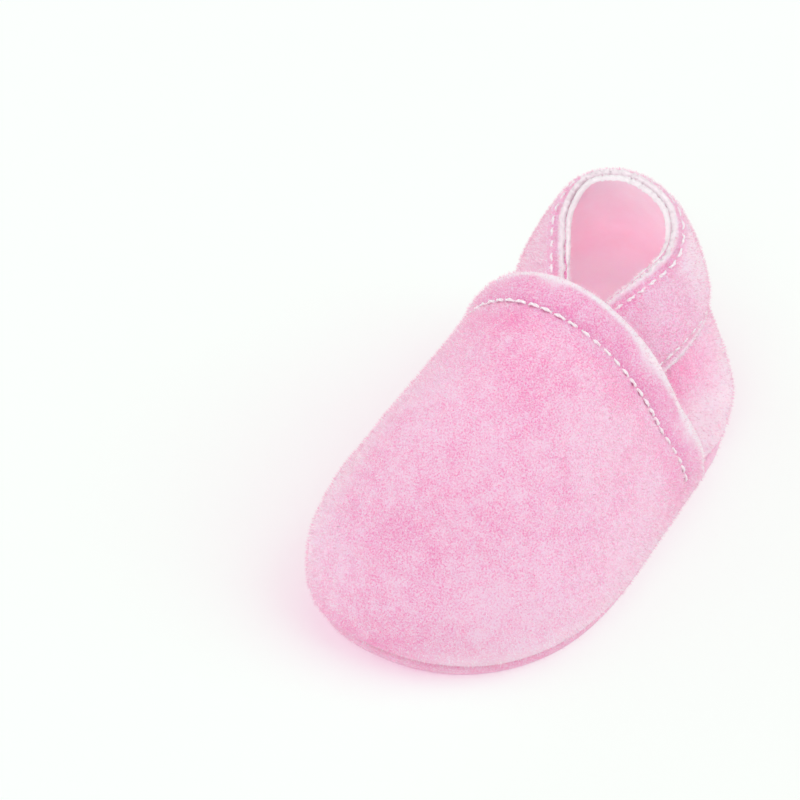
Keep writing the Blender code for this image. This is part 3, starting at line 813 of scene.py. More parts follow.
@dataclass(frozen=True)
class SuedeFinish:
    """Napped suede: pale and deep pinks mixed by brushing marks, speckle and the painted shade of the shade
    attribute, then paled towards a near-white painted highlight.
    """

    name: str
    pale: Colour
    deep: Colour
    # Near-white colour of the painted highlight.
    rubbed: Colour = (1.0, 0.91, 0.955, 1.0)
    speckle: float = 1.6
    mottle: float = 0.5
    clump: float = 0.38
    shade: float = 0.85
    least_depth: float = 0.25
    highlight_evenness: float = 0.4
    nap_size: float = 0.36 * MM
    mottle_size: float = 16 * MM
    clump_size: float = 3.2 * MM
    bump: float = 0.8
    bump_depth: float = 0.12 * MM
    broad_bump: float = 0.8
    sheen: float = 0.5
    sheen_tint: Colour = (1.0, 0.86, 0.92, 1.0)
    glow: float = 0.35
    glow_depth: float = 3.0 * MM
    glow_colours: tuple[float, float, float] = (1.0, 0.3, 0.42)

    def make(self) -> bpy.types.Material:
        """Build the material.

        Returns:
            The material, which reads the painted shade and painted highlight attributes.
        """
        chain = NodeChain(self.name)
        place = chain.place()
        nap = chain.noise(place, self.nap_size, 2.0)
        # Painted shade read from the shade attribute, then random tone from speckle, mottle and clumps.
        depth = chain.math("MULTIPLY", chain.attribute("shade"), self.shade)
        for pattern, strength in ((nap, self.speckle),
                                  (chain.noise(place, self.mottle_size, 2.0), self.mottle),
                                  (chain.noise(place, self.clump_size, 2.0), self.clump)):
            swing = chain.math("MULTIPLY", chain.math("SUBTRACT", pattern, 0.5), strength * 2)
            depth = chain.math("ADD", depth, swing)
        depth = chain.math("ADD", depth, self.least_depth, use_clamp=True)
        # Painted highlight: the colour pales towards near white where the highlight attribute is high.
        highlighting = chain.math("MULTIPLY", chain.attribute("painted_highlight"), chain.math("ADD", nap, self.highlight_evenness))
        fine = chain.noise(place, self.nap_size * 0.8, 3.0)
        broad = chain.noise(place, self.nap_size * 4, 2.0)
        relief = chain.math("ADD", fine, chain.math("MULTIPLY", broad, self.broad_bump))
        return chain.cloth({
            "Base Color": chain.mix(highlighting, chain.mix(depth, self.pale, self.deep), self.rubbed),
            "Normal": chain.bump(relief, self.bump, self.bump_depth),
            "Roughness": 0.95,
            "Specular IOR Level": 0.12,
            "Sheen Weight": self.sheen,
            "Sheen Roughness": 0.55,
            "Sheen Tint": self.sheen_tint,
            "Subsurface Weight": self.glow,
            "Subsurface Radius": self.glow_colours,
            "Subsurface Scale": self.glow_depth,
        })


@dataclass(frozen=True)
class FibreFinish:
    """Short soft fibres: two close colours mixed along the piece."""

    name: str
    pale: Colour
    deep: Colour
    patch: float = 3.0 * MM
    sheen: float = 0.3

    def make(self) -> bpy.types.Material:
        """Build the material.

        Returns:
            The material.
        """
        chain = NodeChain(self.name)
        share = chain.noise(chain.place(), self.patch, 1.0)
        return chain.cloth({
            "Base Color": chain.mix(share, self.pale, self.deep),
            "Roughness": 0.9,
            "Specular IOR Level": 0.1,
            "Sheen Weight": self.sheen,
        })


@dataclass(frozen=True)
class ThreadFinish:
    """Spun thread: a near-white colour with the fine bands of its twist."""

    name: str
    pale: Colour
    deep: Colour
    twist: float = 0.35 * MM
    bands_per_scale: float = 6.0
    wander: float = 1.5
    relief: float = 0.3
    relief_depth: float = 0.05 * MM

    def make(self) -> bpy.types.Material:
        """Build the material.

        Returns:
            The material.
        """
        chain = NodeChain(self.name)
        scale = 1 / self.twist / self.bands_per_scale
        strands = chain.add("ShaderNodeTexWave", {"Vector": chain.place(), "Scale": scale,
                                                  "Distortion": self.wander},
                            wave_type="BANDS", bands_direction="DIAGONAL").outputs["Fac"]
        return chain.cloth({
            "Base Color": chain.mix(strands, self.deep, self.pale),
            "Normal": chain.bump(strands, self.relief, self.relief_depth),
            "Roughness": 0.7,
            "Specular IOR Level": 0.3,
            "Sheen Weight": 0.2,
        })


# ------------------------------------------------------------------ sheets

class SheetFace(Enum):
    """Material slots of a thickened sheet."""

    OUTER = 0
    INNER = 1
    CUT_EDGE = 2


def edges_along(builder: bmesh.types.BMesh, line: list, closed: bool = False) -> list:
    """Find the edges that join a line of vertices.

    Args:
        builder: Holds the vertices.
        line: The vertices in order.
        closed: Whether the last one joins the first.

    Returns:
        The edges in order.
    """
    following = line[1:] + line[:1] if closed else line[1:]
    return [builder.edges.get(pair) for pair in zip(line, following)]


def draw_out(builder: bmesh.types.BMesh, line: list, closed: bool = False) -> list:
    """Extrude a line of vertices.

    Args:
        builder: Holds the vertices.
        line: The vertices in order.
        closed: Whether the last one joins the first.

    Returns:
        The new vertices in the same order, still in the old places.
    """
    made = bmesh.ops.extrude_edge_only(builder, edges=edges_along(builder, line, closed))
    fresh = {item for item in made["geom"] if isinstance(item, bmesh.types.BMVert)}
    partners = []
    for vertex in line:
        neighbours = (edge.other_vert(vertex) for edge in vertex.link_edges)
        partners.append(next(other for other in neighbours if other in fresh))
    return partners


def thicken(item: bpy.types.Object, thickness: float, **settings: bool | int) -> None:
    """Give a sheet its thickness, half on each side.

    Args:
        item: The sheet.
        thickness: In metres.
        settings: Further settings of the modifier.
    """
    solid = item.modifiers.new("Thickness", "SOLIDIFY")
    solid.thickness = thickness
    solid.offset = 0.0
    for name, value in settings.items():
        setattr(solid, name, value)


class RowStack:
    """Rows of points that become a sheet, with their painted shade and painted highlight."""

    def __init__(self) -> None:
        """Start without rows."""
        self.points: list[np.ndarray] = []
        self.shades: list[np.ndarray] = []
        self.painted_highlight: list[np.ndarray] = []

    def add(self, points: np.ndarray, shade: np.ndarray | float, painted_highlight: np.ndarray | float) -> None:
        """Add a row.

        Args:
            points: The row's points, in the straight layout.
            shade: How deep the painted shade is, for all or for each point.
            painted_highlight: How strong the painted highlight is, for all or for each point.
        """
        self.points.append(points)
        self.shades.append(np.broadcast_to(shade, len(points)))
        self.painted_highlight.append(np.broadcast_to(painted_highlight, len(points)))


class Sheet:
    """A suede sheet modelled at its middle, with painted values at each vertex, and then thickened."""

    INSIDE_HEIGHT = 20 * MM

    def __init__(self, rows: np.ndarray, shades: np.ndarray, painted_highlight: np.ndarray) -> None:
        """Lay a grid on rows of points.

        Args:
            rows: Points as rows by columns by 3, in the straight layout.
            shades: How deep the painted shade is at each point, 0 to 1.
            painted_highlight: How strong the painted highlight is at each point, 0 to 1.
        """
        self.builder = bmesh.new()
        # Painted shade and painted highlight, stored at each vertex.
        self.shade_layer = self.builder.verts.layers.float.new("shade")
        self.highlight_layer = self.builder.verts.layers.float.new("painted_highlight")
        along, across = rows.shape[:2]
        bmesh.ops.create_grid(self.builder, x_segments=across - 1, y_segments=along - 1, size=1.0)
        self.grid: dict[tuple[int, int], bmesh.types.BMVert] = {}
        for vertex in self.builder.verts:
            column = round((vertex.co.x + 1) / 2 * (across - 1))
            row = round((vertex.co.y + 1) / 2 * (along - 1))
            self.grid[row, column] = vertex
        for key, vertex in self.grid.items():
            vertex.co = rows[key]
            vertex[self.shade_layer] = float(shades[key])
            vertex[self.highlight_layer] = float(painted_highlight[key])

    @classmethod
    def from_stack(cls, stack: RowStack) -> "Sheet":
        """Lay a sheet on a stack of rows."""
        return cls(np.array(stack.points), np.array(stack.shades), np.array(stack.painted_highlight))

    def extend(self, edge: list, targets: list[np.ndarray], shade: float) -> None:
        """Draw the sheet's edge out through rows of new points.

        Args:
            edge: The edge's vertices in order.
            targets: One array of points for each new row.
            shade: Shade of the new rows.
        """
        for target in targets:
            edge = draw_out(self.builder, edge)
            for vertex, point in zip(edge, target):
                vertex.co = point
                vertex[self.shade_layer] = shade

    def finish(self, name: str, form: BootieForm, materials: list[bpy.types.Material]) -> bpy.types.Object:
        """Bend the sheet with the foot, thicken it and dress it.

        Args:
            name: The piece's name.
            form: Gives the bend and the suede's thickness.
            materials: Outer face, inner face and cut edge.

        Returns:
            The finished object.
        """
        form.settle(self.builder)
        self.face_outwards()
        item = dress(name, self.builder, materials)
        thicken(item, form.suede, use_quality_normals=True, material_offset=SheetFace.INNER.value,
                material_offset_rim=SheetFace.CUT_EDGE.value)
        return item

    def face_outwards(self) -> None:
        """Turn the faces so that the grid's own side faces away from the bootie's inside."""
        votes = 0.0
        middle = Vector((0.0, 0.0, self.INSIDE_HEIGHT))
        for face in self.builder.faces:
            votes += face.calc_area() * face.normal.dot(face.calc_center_median() - middle)
        if votes < 0:
            bmesh.ops.reverse_faces(self.builder, faces=self.builder.faces)


# ------------------------------------------------------------------ main pieces

@dataclass(frozen=True)
class BrushedAndShadedPatch:
    """A place in plan where brushed nap and painted shade deepen the pink; a negative depth paints light
    there instead.
    """

    x: float
    y: float
    radius: float
    depth: float

    def share(self, points: np.ndarray) -> np.ndarray:
        """How much of the patch shows at each point."""
        away = np.hypot(points[..., 0] - self.x, points[..., 1] - self.y)
        return self.depth * bell(away, self.radius)


@dataclass
class Vamp:
    """The toe piece with its folded hem."""

    form: BootieForm
    across: int = 150
    return_rows: int = 8
    fold_rows: int = 8
    hem_rows: int = 26
    side_rows: int = 46
    toe_rows: int = 56
    below_hem: float = 4.5 * MM
    side_reach: float = 30 * MM
    toe_reach: float = 40 * MM
    groove: float = 0.75 * MM
    groove_width: float = 1.15 * MM
    roll: float = 0.75 * MM
    roll_middle: float = 2.6 * MM
    roll_width: float = 2.9 * MM
    roll_overshoot: float = 1.25
    pucker: float = 0.16 * MM
    pucker_width: float = 1.7 * MM
    relief_ease: float = 0.1
    broad_dent: float = 0.7 * MM
    broad_size: float = 26 * MM
    small_dent: float = 0.3 * MM
    small_size: float = 10 * MM
    brushed_dent: float = 1.6 * MM
    gather: float = 0.35 * MM
    gather_size: float = 5.5 * MM
    gather_squash: float = 0.25
    gather_height: float = 5 * MM
    settle_height: float = 4 * MM
    overhang: float = 1.35 * MM
    overhang_height: float = 3.2 * MM
    # Painted shade: deeper pink in the stitch groove, on and below the hem, at the seam, at the toe, through
    # the fold and on the hidden return and allowance layers.
    groove_shade: float = 0.45
    groove_shade_width: float = 1.3 * MM
    hem_shade: float = 0.33
    hem_shade_fade: float = 2 * MM
    below_shade: float = 0.28
    below_middle: float = 4 * MM
    below_width: float = 5 * MM
    seam_shade: float = 0.25
    seam_shade_height: float = 2.2 * MM
    toe_shade: float = 0.32
    toe_shade_height: float = 6 * MM
    toe_shade_y: float = -35 * MM
    toe_shade_y_fade: float = 15 * MM
    toe_shade_x: float = 30 * MM
    toe_shade_x_fade: float = 20 * MM
    fold_shade: float = 0.10
    fold_shade_rise: float = 0.25
    fold_highlight_start: float = 1.6
    fold_highlight_turn: float = 1.2
    return_shade: float = 0.5
    allowance_shade: float = 0.8
    # Painted highlight: near white along the hem's fold, low on the +X side and over the -X flank.
    hem_highlight: float = 0.95
    highlight_reach: float = 1.3 * MM
    highlight_change: float = 2.2 * MM
    highlight_size: float = 7 * MM
    least_highlight: float = 0.6 * MM
    seam_highlight: float = 0.55
    seam_highlight_height: float = 3.5 * MM
    seam_highlight_fade: float = 20 * MM
    flank_highlight: float = 0.35
    flank_x: float = 16 * MM
    flank_fade: float = 12 * MM
    # Patches of brushed nap and painted shade; the negative ones paint light, mostly on the -X side.
    brushed_and_shaded: tuple[BrushedAndShadedPatch, ...] = (
        BrushedAndShadedPatch(0 * MM, -46 * MM, 12 * MM, 0.28),
        BrushedAndShadedPatch(-9 * MM, -11 * MM, 9 * MM, 0.3),
        BrushedAndShadedPatch(14 * MM, -18 * MM, 8 * MM, 0.2),
        BrushedAndShadedPatch(-13 * MM, -38 * MM, 8 * MM, 0.2),
        BrushedAndShadedPatch(5 * MM, -28 * MM, 6 * MM, 0.22),
        BrushedAndShadedPatch(30 * MM, -16 * MM, 14 * MM, -0.14),
        BrushedAndShadedPatch(-31 * MM, -28 * MM, 16 * MM, -0.4),
        BrushedAndShadedPatch(-28 * MM, 2 * MM, 13 * MM, -0.3),
        BrushedAndShadedPatch(12 * MM, -56 * MM, 12 * MM, -0.12))

    def __post_init__(self) -> None:
        """Measure along the stitching line, which spaces the puckers."""
        self.places: np.ndarray = np.linspace(-1.0, 1.0, self.across + 1)
        self.scale: np.ndarray = self.form.throat_scale(self.places)
        self.arc: np.ndarray = travelled(self.form.dome_point(self.places, self.form.hem_stitch / self.scale))

    def brushing_and_shading(self, points: np.ndarray) -> np.ndarray:
        """How much the patches deepen the pink at each point: painted shade where positive, painted light
        where negative.
        """
        return sum(patch.share(points) for patch in self.brushed_and_shaded)

    def relief(self, points: np.ndarray, distance: float, across: np.ndarray) -> np.ndarray:
        """How far the suede stands out from the smooth dome.

        Args:
            points: Places on the dome.
            distance: Metres below the throat edge.
            across: The sheet's across value at each point.

        Returns:
            Outward displacement in metres.
        """
        form = self.form
        above_foot = points[:, 2] - form.foot_height
        from_stitch = distance - form.hem_stitch
        groove = self.groove * bell(from_stitch, self.groove_width)
        roll = self.roll * bell(distance - self.roll_middle, self.roll_width)
        wave = np.cos(2 * math.pi * self.arc / form.stitch_pitch)
        pucker = self.pucker * wave * bell(from_stitch, self.pucker_width)
        ease = smooth_step((1 - np.abs(across)) / self.relief_ease)
        broad = self.broad_dent * bumps(points, self.broad_size, 3)
        broad += self.small_dent * bumps(points, self.small_size, 5)
        broad -= self.brushed_dent * np.maximum(self.brushing_and_shading(points), 0.0)
        gather = self.gather * bumps(points * [1, 1, self.gather_squash], self.gather_size, 9)
        gather *= bell(above_foot, self.gather_height)
        settle = smooth_step(above_foot / self.settle_height)
        overhang = self.overhang * bell(above_foot, self.overhang_height)
        return (roll - groove + pucker) * ease + (broad + gather) * settle + overhang

    def shade(self, points: np.ndarray, distance: float) -> np.ndarray:
        """Painted shade: deeper pink in the stitch groove, beside the roll, below the hem, low at the seam
        and at the toe, with the patches' painted shade and light.

        Args:
            points: Places on the dome.
            distance: Metres below the throat edge.

        Returns:
            The painted shade at each point.
        """
        from_stitch = distance - self.form.hem_stitch
        groove = self.groove_shade * bell(from_stitch, self.groove_shade_width)
        hem = self.hem_shade * smooth_step(-from_stitch / self.hem_shade_fade)
        below = self.below_shade * bell(from_stitch - self.below_middle, self.below_width)
        front = smooth_step((self.toe_shade_y - points[:, 1]) / self.toe_shade_y_fade)
        front *= smooth_step((self.toe_shade_x - points[:, 0]) / self.toe_shade_x_fade)
        low = np.maximum(points[:, 2] - self.form.foot_height, 0.0)
        seam = self.seam_shade * bell(low, self.seam_shade_height)
        toe = self.toe_shade * front * bell(low, self.toe_shade_height)
        return groove + hem + below + seam + toe + self.brushing_and_shading(points)

    def highlighting(self, points: np.ndarray, distance: float, hidden: bool) -> np.ndarray:
        """Painted highlight along the hem's fold, low on one side and on the other flank.

        Args:
            points: Places on the dome.
            distance: Metres below the throat edge.
            hidden: Whether this is the hem's inner layer, whose edge gets no painted highlight.

        Returns:
            The painted highlight at each point.
        """
        reach = self.highlight_reach + self.highlight_change * bumps(points, self.highlight_size, 47)
        hem = 0.0 if hidden else self.hem_highlight * bell(distance, np.maximum(reach, self.least_highlight))
        low = self.seam_highlight * bell(points[:, 2] - self.form.foot_height, self.seam_highlight_height)
        low *= smooth_step(points[:, 0] / self.seam_highlight_fade)
        flank = self.flank_highlight * smooth_step((-points[:, 0] - self.flank_x) / self.flank_fade)
        return np.maximum(hem, np.maximum(low, flank))

    def lay(self, stack: RowStack, place: np.ndarray, distance: float, travel: np.ndarray | float,
            spread: float = 0.0) -> None:
        """Add one row of the sheet.

        Args:
            stack: Takes the row.
            place: The across value of each point.
            distance: Metres below the throat edge.
            travel: The dome's travel value of each point.
            spread: How far the row lies under the outer layer, for the hem's inner one.
        """
        outward, _ = self.form.dome_frame(place, travel)
        points = self.form.dome_point(place, travel)
        out = self.relief(points, distance, place) - spread
        hidden = spread > 0
        # The hem's hidden inner layer takes one flat painted shade.
        shade = self.return_shade if hidden else self.shade(points, distance)
        stack.add(points + outward * out[:, None], shade, self.highlighting(points, distance, hidden))

    def lay_fold(self, stack: RowStack, turn: float) -> None:
        """Add one row of the roll that joins the hem's two layers.

        Args:
            stack: Takes the row.
            turn: Angle round the roll, half a turn at the inner layer and 0 at the outer one.
        """
        form = self.form
        place = self.places * (1 - form.hem_taper * turn / math.pi)
        outward, rearward = form.dome_frame(place, 0.0)
        points = form.dome_point(place, 0.0)
        out = self.relief(points, 0.0, place)
        roll = rearward * math.sin(turn) * self.roll_overshoot - outward * (1 - math.cos(turn))
        # Painted shade deepens round the fold towards the inner layer; the painted highlight fades away from
        # the outer side.
        shade = self.fold_shade + self.fold_shade_rise * turn / math.pi
        rubbed = self.hem_highlight * smooth_step(self.fold_highlight_start - turn / self.fold_highlight_turn)
        stack.add(points + roll * form.roll_radius + outward * out[:, None], shade, rubbed)

    def build(self, materials: list[bpy.types.Material]) -> bpy.types.Object:
        """Build the vamp's sheet, from the end of the hem's inner layer to the toe.

        Args:
            materials: Outer face, inner face and cut edge.

        Returns:
            The finished object.
        """
        form, places, scale = self.form, self.places, self.scale
        stack = RowStack()
        narrowed = places * (1 - form.hem_taper)
        for step in range(self.return_rows):
            distance = form.hem_depth * (1 - step / self.return_rows)
            travel = distance / form.throat_scale(narrowed)
            self.lay(stack, narrowed, distance, travel, form.hem_spread(distance))
        for step in range(self.fold_rows):
            self.lay_fold(stack, math.pi * (1 - step / self.fold_rows))
        hem_end = form.hem_stitch + self.below_hem
        for step in range(self.hem_rows):
            distance = hem_end * step / self.hem_rows
            self.lay(stack, places, distance, distance / scale)
        start = hem_end / scale
        for step in range(self.side_rows):
            share = step / self.side_rows
            self.lay(stack, places, hem_end + share * self.side_reach, start + (1 - start) * share)
        for step in range(self.toe_rows + 1):
            self.lay(stack, places, self.toe_reach, 1 + step / self.toe_rows)
        sheet = Sheet.from_stack(stack)
        self.close_foot(sheet, len(stack.points) - 1)
        return sheet.finish("vamp_suede_shell", form, materials)

    def close_foot(self, sheet: Sheet, last: int) -> None:
        """Turn the vamp's lower edge in over the seam.

        Args:
            sheet: The vamp's sheet.
            last: Its row at the toe's tip.
        """
        form = self.form
        first = self.return_rows + self.fold_rows
        edge = [sheet.grid[row, 0] for row in range(first, last + 1)]
        edge += [sheet.grid[last, column] for column in range(1, self.across + 1)]
        edge += [sheet.grid[row, self.across] for row in range(last - 1, first - 1, -1)]
        plan = np.array([vertex.co for vertex in edge])[:, :2]
        tangent = np.gradient(plan, axis=0)
        inward = unit(np.column_stack([-tangent[:, 1], tangent[:, 0]]))
        base = np.full(len(plan), form.flange_height + form.suede / 2)
        sheet.extend(edge, form.fold_under(plan, inward, base), self.allowance_shade)


@dataclass
class Quarter:
    """The heel piece, from its seam allowance to the rim."""

    form: BootieForm
    across: int = 220
    rows: int = 64
    overhang: float = 1.2 * MM
    overhang_height: float = 3.4 * MM
    broad_dent: float = 0.5 * MM
    broad_size: float = 16 * MM
    small_dent: float = 0.2 * MM
    small_size: float = 6 * MM
    gather: float = 0.3 * MM
    gather_size: float = 4.5 * MM
    gather_squash: float = 0.2
    gather_share: float = 0.14
    calm_foot: float = 0.1
    calm_band: float = 0.62
    calm_band_fade: float = 0.12
    rear_fade: float = 22 * MM
    clear_start: float = 2 * MM
    clear_fade: float = 5 * MM
    # Painted shade: deeper pink under the band, at the foot's seam, by the tuck and on the allowance;
    # rear_paling paints light towards the heel.
    least_shade: float = 0.05
    under_band_shade: float = 0.5
    rear_paling: float = 0.2
    under_band_start: float = 0.3
    under_band_fade: float = 0.2
    upper_start: float = 0.22
    upper_fade: float = 0.24
    seam_shade: float = 0.15
    seam_share: float = 0.08
    tuck_shade: float = 0.4
    allowance_shade: float = 0.8
    # Painted highlight towards the rear and low where the wall stands clear of the hem.
    highlight_strength: float = 0.65
    low_highlight: float = 0.9
    ragged: float = 0.9 * MM
    ragged_size: float = 2.4 * MM
    rim_length: float = 180 * MM

    def build(self, materials: list[bpy.types.Material]) -> bpy.types.Object:
        """Build the quarter's sheet, from the foot to the rim.

        Args:
            materials: Outer face, inner face and cut edge.

        Returns:
            The finished object.
        """
        form = self.form
        places = np.linspace(-1.0, 1.0, self.across + 1)
        outline, _ = form.quarter_outline(places)
        behind = outline[:, 1] - form.tuck_end_y
        tuck = form.tuck_share(outline[:, 1])
        rear = smooth_step(behind / self.rear_fade)
        clear = smooth_step((behind + self.clear_start) / self.clear_fade)
        foot, inward = form.quarter_foot(places)
        lowering = (form.suede + form.gap) * tuck * clear
        stack = RowStack()
        for step in range(self.rows + 1):
            share = step / self.rows
            base = form.wall_point(places, share, -form.suede / 2)
            near_foot = bell(base[:, 2] - foot[:, 2], self.overhang_height) * clear
            out = self.dents(base, share) * (1 - tuck) + self.overhang * near_foot
            points = form.wall_point(places, share, out - form.suede / 2)
            points[:, 2] -= lowering * near_foot
            # Painted shade under the band, by the tuck and at the foot; painted highlight towards the rear
            # and low on the clear wall, held back under the band.
            under_band = self.under_band_shade - self.rear_paling * rear
            under_band *= smooth_step((share - self.under_band_start) / self.under_band_fade)
            upper = smooth_step((share - self.upper_start) / self.upper_fade)
            shade = self.least_shade + under_band + self.tuck_shade * tuck * upper
            shade += self.seam_shade * bell(share, self.seam_share)
            rubbed = np.maximum(rear, self.low_highlight * clear * (1 - upper)) * (1 - under_band * 2)
            stack.add(points, shade, self.highlight_strength * rubbed)
        stack.points[-1][:, 2] -= self.rim_cut(places)
        sheet = Sheet.from_stack(stack)
        edge = [sheet.grid[0, column] for column in range(self.across + 1)]
        plan = np.array([vertex.co for vertex in edge])[:, :2]
        base = foot[:, 2] - form.fold - lowering
        sheet.extend(edge, form.fold_under(plan, inward, base), self.allowance_shade)
        return sheet.finish("heel_quarter_suede", form, materials)

    def dents(self, base: np.ndarray, share: float) -> np.ndarray:
        """Soft dents and seam gathers, which calm down at the foot and under the band.

        Args:
            base: A row's points on the smooth wall.
            share: The row's share of the wall's height.

        Returns:
            Outward displacement in metres.
        """
        soft = self.broad_dent * bumps(base, self.broad_size, 13)
        soft += self.small_dent * bumps(base, self.small_size, 17)
        gather = self.gather * bumps(base * [1, 1, self.gather_squash], self.gather_size, 19)
        gather *= bell(share, self.gather_share)
        calm = smooth_step(share / self.calm_foot)
        return (soft + gather) * calm * smooth_step((self.calm_band - share) / self.calm_band_fade)

    def rim_cut(self, places: np.ndarray) -> np.ndarray:
        """How much the hand cut took off the rim, a fraction of a millimetre at each place."""
        line = np.outer(places * self.rim_length / 2, (1.0, 0.0, 0.0))
        return np.abs(bumps(line, self.ragged_size, 37, octaves=2)) * self.ragged


@dataclass
class AnkleBand:
    """The casing strip that holds the elastic."""

    form: BootieForm
    across: int = 260
    rows: int = 40
    groove: float = 0.304 * MM
    groove_width: float = 0.8 * MM
    puff: float = 0.55 * MM
    # Width of the painted highlight along the cut edges, wider at the top.
    cut_edge: float = 0.75 * MM
    top_widening: float = 1.5
    gather: float = 0.26 * MM
    gather_size: float = 4.6 * MM
    gather_stretch: float = 0.22
    dent: float = 0.22 * MM
    dent_size: float = 8 * MM
    deepest: float = 0.3 * MM
    pucker: float = 0.07 * MM
    pucker_width: float = 1.1 * MM
    ragged: float = 1.0 * MM
    ragged_size: float = 2.1 * MM
    # Painted shade at the stitch rows, at the edges and in the gathers' hollows.
    least_shade: float = 0.1
    stitch_shade: float = 0.32
    edge_shade: float = 0.14
    gather_shade: float = 0.12
    # Painted highlight round the heel.
    rear_highlight: float = 0.75
    far_highlight: float = 0.4
    far_reach: float = 0.34
    near_reach: float = 0.62
    near_fade: float = 0.3
    body_power: float = 0.7
    ragged_depth: float = 1 * MM
    stitch_hold: float = 0.6

    def lift(self, drop: float) -> float:
        """Height of the casing's middle over the quarter, dented at both stitch rows.

        Args:
            drop: Distance below the rim.

        Returns:
            The height in metres.
        """
        form = self.form
        dent = sum(self.groove * bell(drop - row, self.groove_width) for row in form.stitch_drops)
        middle = (drop - form.band_width / 2) / (form.band_width / 2)
        return form.casing_lift(drop) + self.puff * max(0.0, 1 - middle * middle) - dent

    def highlighting(self, places: np.ndarray) -> np.ndarray:
        """Painted highlight round the heel, which reaches further forward on one side.

        Args:
            places: Places from -1 to 1, with 0 at the heel's centre.

        Returns:
            The painted highlight at each place.
        """
        around = np.abs(places)
        far = self.far_highlight + (self.rear_highlight - self.far_highlight) * smooth_step(1 - around / self.far_reach)
        near = self.rear_highlight * smooth_step((self.near_reach - around) / self.near_fade)
        return np.where(places > 0, far, near)

    def build(self, materials: list[bpy.types.Material]) -> bpy.types.Object:
        """Build the casing's sheet, from its top edge down.

        Args:
            materials: Outer face, inner face and cut edge.

        Returns:
            The finished object.
        """
        form = self.form
        places = np.linspace(-1.0, 1.0, self.across + 1)
        table = form.drop_table(places)
        arc = travelled(form.upright(places, form.share_at(table, form.band_width / 2)))
        line = np.outer(arc, (1.0, 0.0, 0.0))
        ragged = np.abs(bumps(line, self.ragged_size, 43, octaves=2)) * self.ragged
        rubbed = self.highlighting(places)
        pitch = np.cos(2 * math.pi * arc / form.stitch_pitch)
        stack = RowStack()
        for step in range(self.rows + 1):
            drop = form.band_width * step / self.rows
            share = form.share_at(table, drop + ragged * bell(drop, self.ragged_depth))
            body = math.sin(math.pi * step / self.rows) ** self.body_power
            stretched = line + [0.0, drop * self.gather_stretch, 0.0]
            gathers = bumps(stretched, self.gather_size, 23) * body
            soft = bumps(form.upright(places, share), self.dent_size, 29) * body
            near = max(bell(drop - row, self.pucker_width) for row in form.stitch_drops)
            out = self.gather * gathers + self.dent * soft + self.pucker * pitch * near
            points = form.wall_point(places, share, self.lift(drop) + np.maximum(out, -self.deepest))
            # Painted shade at the stitch rows, at the edges and in the gathers' hollows, painted light on
            # their crowns; painted highlight round the heel and along both cut edges, held back at the
            # stitches.
            shade = self.stitch_shade * near + self.least_shade + self.edge_shade * (1 - body)
            cut = max(bell(drop, self.top_widening * self.cut_edge),
                      bell(form.band_width - drop, self.cut_edge))
            stack.add(points, shade - self.gather_shade * gathers,
                      np.maximum(rubbed * (1 - self.stitch_hold * near), cut))
        return Sheet.from_stack(stack).finish("ankle_band_suede", form, materials)


